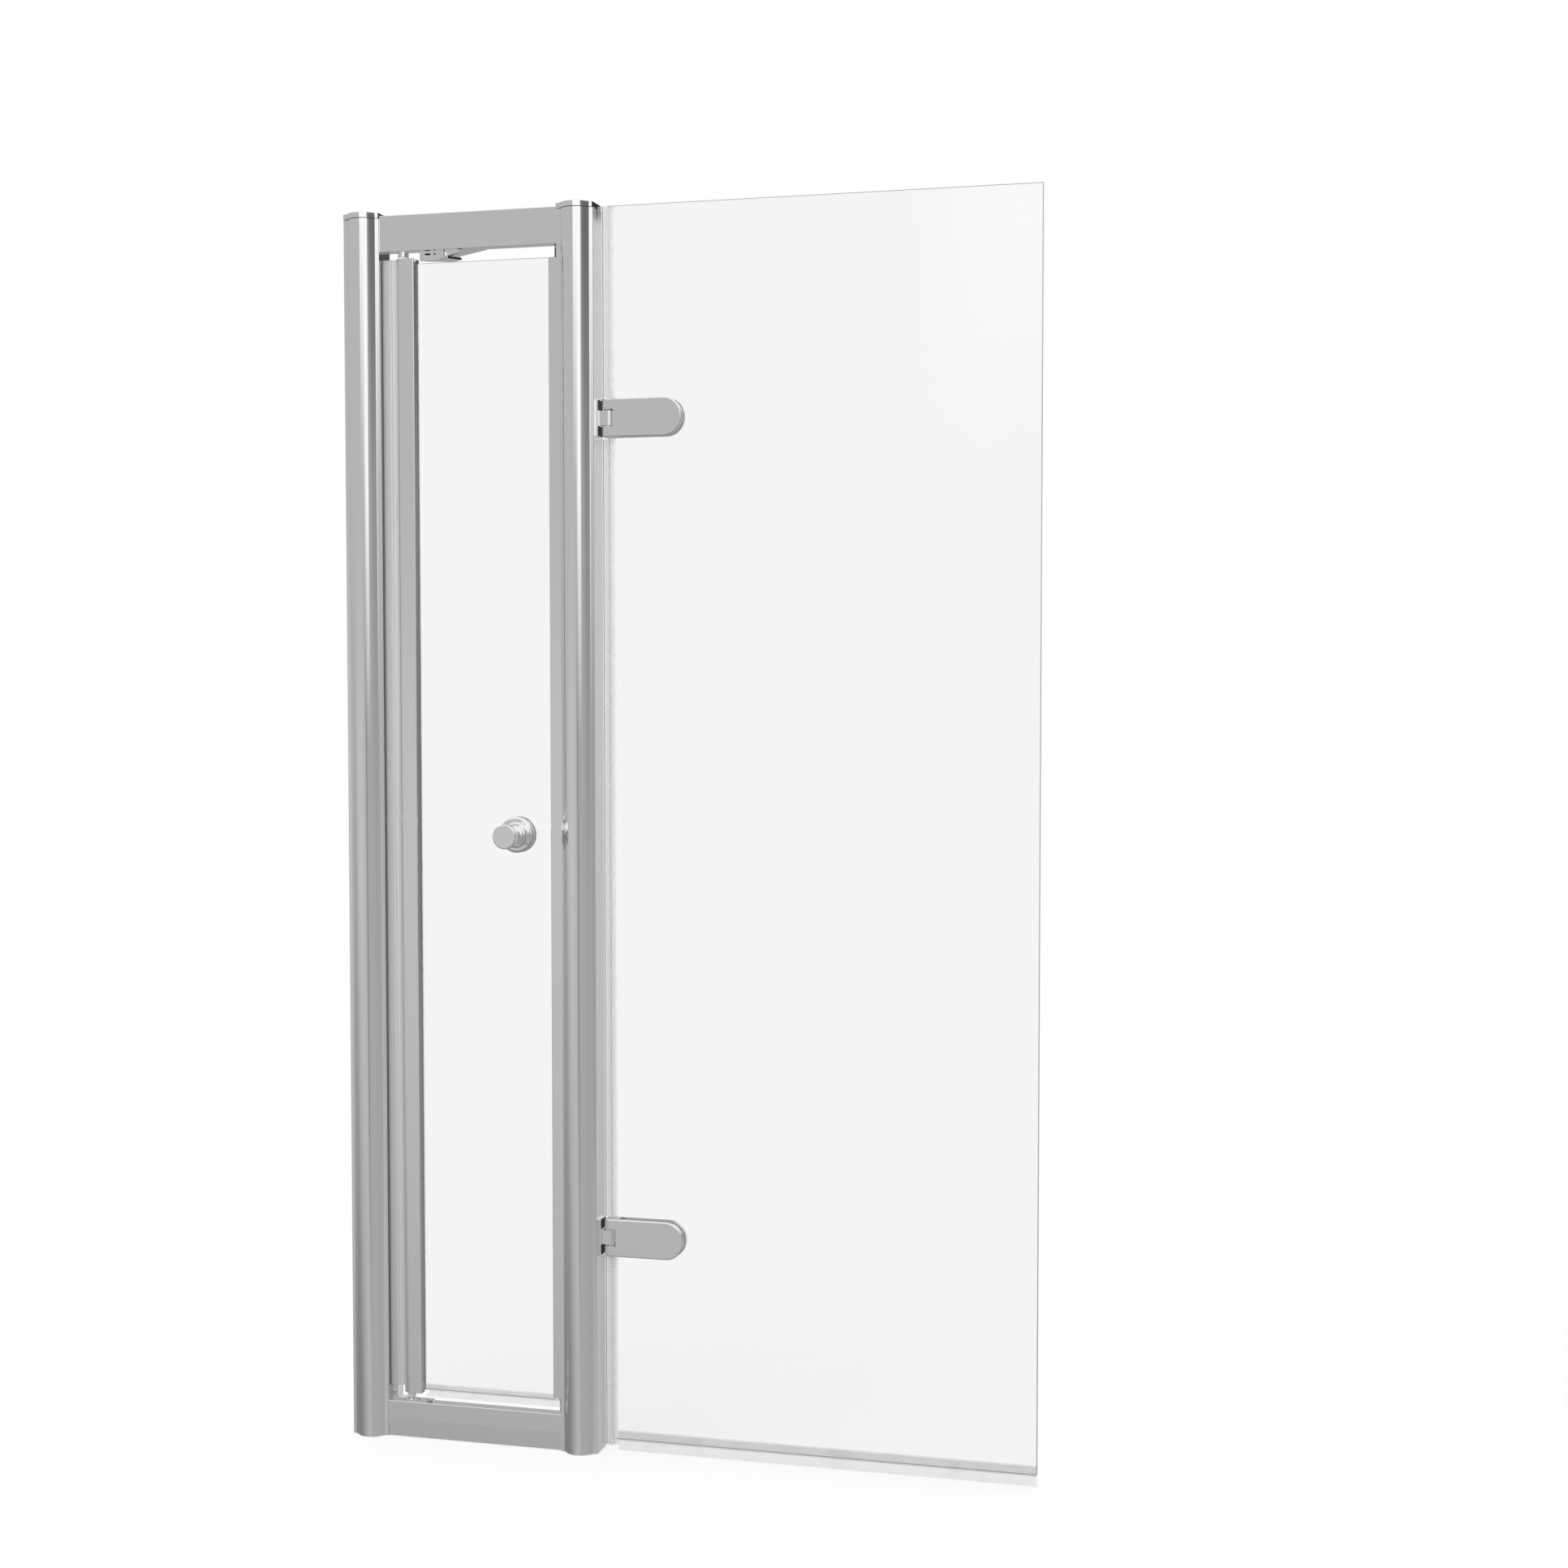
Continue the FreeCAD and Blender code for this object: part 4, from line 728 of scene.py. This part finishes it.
def rail_skirt():
    """The lower half of the bottom rail's face: a thin wedge, proud at the crease and flush at the foot."""
    low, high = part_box("bottom_rail")
    face = low[1] - edge_gap
    wedge = np.array([
        (face - edge_skin, skirt_foot), (face, skirt_foot),
        (face, crease_height), (face - skirt_lean, crease_height),
    ])
    first = np.column_stack([np.full(len(wedge), low[0] + skirt_end), wedge])
    last = first + (high[0] - low[0] - 2 * skirt_end, 0.0, 0.0)
    drawn_out("bottom_rail_skirt", first, last, rail_metal, "frame")


ground_edges()
hinge_gap_shades()
seal_edges()
edge_beads()
leaf_rims()
knob_rims()
gap_rubbers()
bracket_trim()
rail_skirt()


def mixed(tree, share, below, above):
    """Two colours mixed by a share; each is a socket or a grey level."""
    mix = add(tree, "ShaderNodeMix", data_type="RGBA")
    feed(tree, share, mix.inputs["Factor"])
    for name, colour in (("A", below), ("B", above)):
        if isinstance(colour, float):
            mix.inputs[name].default_value = (colour, colour, colour, 1.0)
        else:
            feed(tree, colour, mix.inputs[name])
    return mix.outputs["Result"]


def seen_direct(tree):
    """1 for what the eye sees, straight or through glass, and the Light Path node."""
    path = add(tree, "ShaderNodeLightPath")
    seen = math_node(tree, "MAXIMUM", path.outputs["Is Camera Ray"], path.outputs["Is Transmission Ray"])
    return seen, path


def mirrored_room(tree):
    """The room's grey level by direction: the cards mixed over the wall, each by its two windows multiplied."""
    place = add(tree, "ShaderNodeTexCoord")
    parts = add(tree, "ShaderNodeSeparateXYZ")
    feed(tree, place.outputs["Generated"], parts.inputs["Vector"])
    height = parts.outputs["Z"]
    ahead = math_node(tree, "MULTIPLY", parts.outputs["Y"], -1.0)
    compass = math_node(tree, "DEGREES", math_node(tree, "ARCTAN2", parts.outputs["X"], ahead))
    room = mixed(tree, rise(tree, compass, *wall_turn), *wall_levels)
    for places, heights, level in room_cards.values():
        across = window(tree, compass, places, "SMOOTHSTEP")
        upward = window(tree, height, heights, "LINEAR")
        room = mixed(tree, math_node(tree, "MULTIPLY", across, upward), room, level)
    room = mixed(tree, rise(tree, height, *foot_span, last=foot_dimming), room, 0.0)
    room = mixed(tree, rise(tree, height, *up_span), room, up_level)
    return mixed(tree, rise(tree, height, *down_span), room, down_level)


def studio_world():
    """White all round for the eye; in metal a grey room with a white card in front and a dark right side."""
    world = bpy.data.worlds.new("studio")
    tree = tree_of(world)
    room = mirrored_room(tree)
    seen, path = seen_direct(tree)
    sharp = math_node(tree, "MAXIMUM", path.outputs["Is Glossy Ray"], path.outputs["Is Transmission Ray"])
    turned = math_node(tree, "GREATER_THAN", path.outputs["Glossy Depth"], mirror_depth)
    mirrored = math_node(tree, "MULTIPLY", sharp, turned)
    bare = mixed(tree, seen, sky_level, 1.0)
    background = add(tree, "ShaderNodeBackground")
    feed(tree, mixed(tree, mirrored, bare, room), background.inputs["Color"])
    output = add(tree, "ShaderNodeOutputWorld")
    feed(tree, background.outputs["Background"], output.inputs["Surface"])
    bpy.context.scene.world = world


def pale_floor():
    """A round pale floor that fades out at its rim: white to the eye, with the soft shadow kept."""
    middle = ((cad_low[0] + cad_high[0]) / 2, (cad_low[1] + cad_high[1]) / 2, cad_low[2] - floor_drop)
    bpy.ops.mesh.primitive_circle_add(
        vertices=floor_sides, radius=floor_radius, fill_type="NGON", location=middle,
    )
    floor = bpy.context.object
    floor.name = "floor"
    floor.visible_glossy = False
    material, tree, shader = new_material("pale_floor")
    shader.inputs["Base Color"].default_value = (floor_tone, floor_tone, floor_tone, 1.0)
    shader.inputs["Roughness"].default_value = floor_roughness
    shader.inputs["Specular IOR Level"].default_value = 0.0
    shader.inputs["Emission Color"].default_value = (1.0, 1.0, 1.0, 1.0)
    seen, path = seen_direct(tree)
    feed(tree, math_node(tree, "MULTIPLY", seen, floor_glow), shader.inputs["Emission Strength"])
    place = add(tree, "ShaderNodeTexCoord")
    reach = add(tree, "ShaderNodeVectorMath", operation="LENGTH")
    feed(tree, place.outputs["Object"], reach.inputs[0])
    fade = rise(tree, reach.outputs["Value"], floor_clear, floor_radius, kind="SMOOTHSTEP")
    mirrored = math_node(tree, "GREATER_THAN", path.outputs["Glossy Depth"], mirror_depth)
    see_through(tree, shader, math_node(tree, "MAXIMUM", fade, mirrored))
    floor.data.materials.append(material)


def photo_camera():
    """The camera that the photograph was taken from."""
    data = bpy.data.cameras.new("camera")
    data.lens = camera_lens
    data.sensor_width = sensor_width
    data.sensor_fit = "HORIZONTAL"
    camera = bpy.data.objects.new("camera", data)
    camera.location = camera_place
    camera.rotation_euler = (math.radians(90.0 - camera_down), 0.0, math.radians(camera_turn))
    bpy.context.scene.collection.objects.link(camera)
    bpy.context.scene.camera = camera


def soft_lamp():
    """One large soft lamp high in front of the screen."""
    data = bpy.data.lights.new("soft_lamp", "AREA")
    data.energy = lamp_power
    data.size = lamp_size
    lamp = bpy.data.objects.new("soft_lamp", data)
    lamp.location = lamp_place
    lamp.rotation_euler = (math.radians(lamp_tilt), 0.0, math.radians(lamp_turn))
    lamp.visible_glossy = False
    lamp.visible_camera = False
    bpy.context.scene.collection.objects.link(lamp)


studio_world()
pale_floor()
photo_camera()
soft_lamp()
bpy.context.scene.view_settings.view_transform = "Standard"
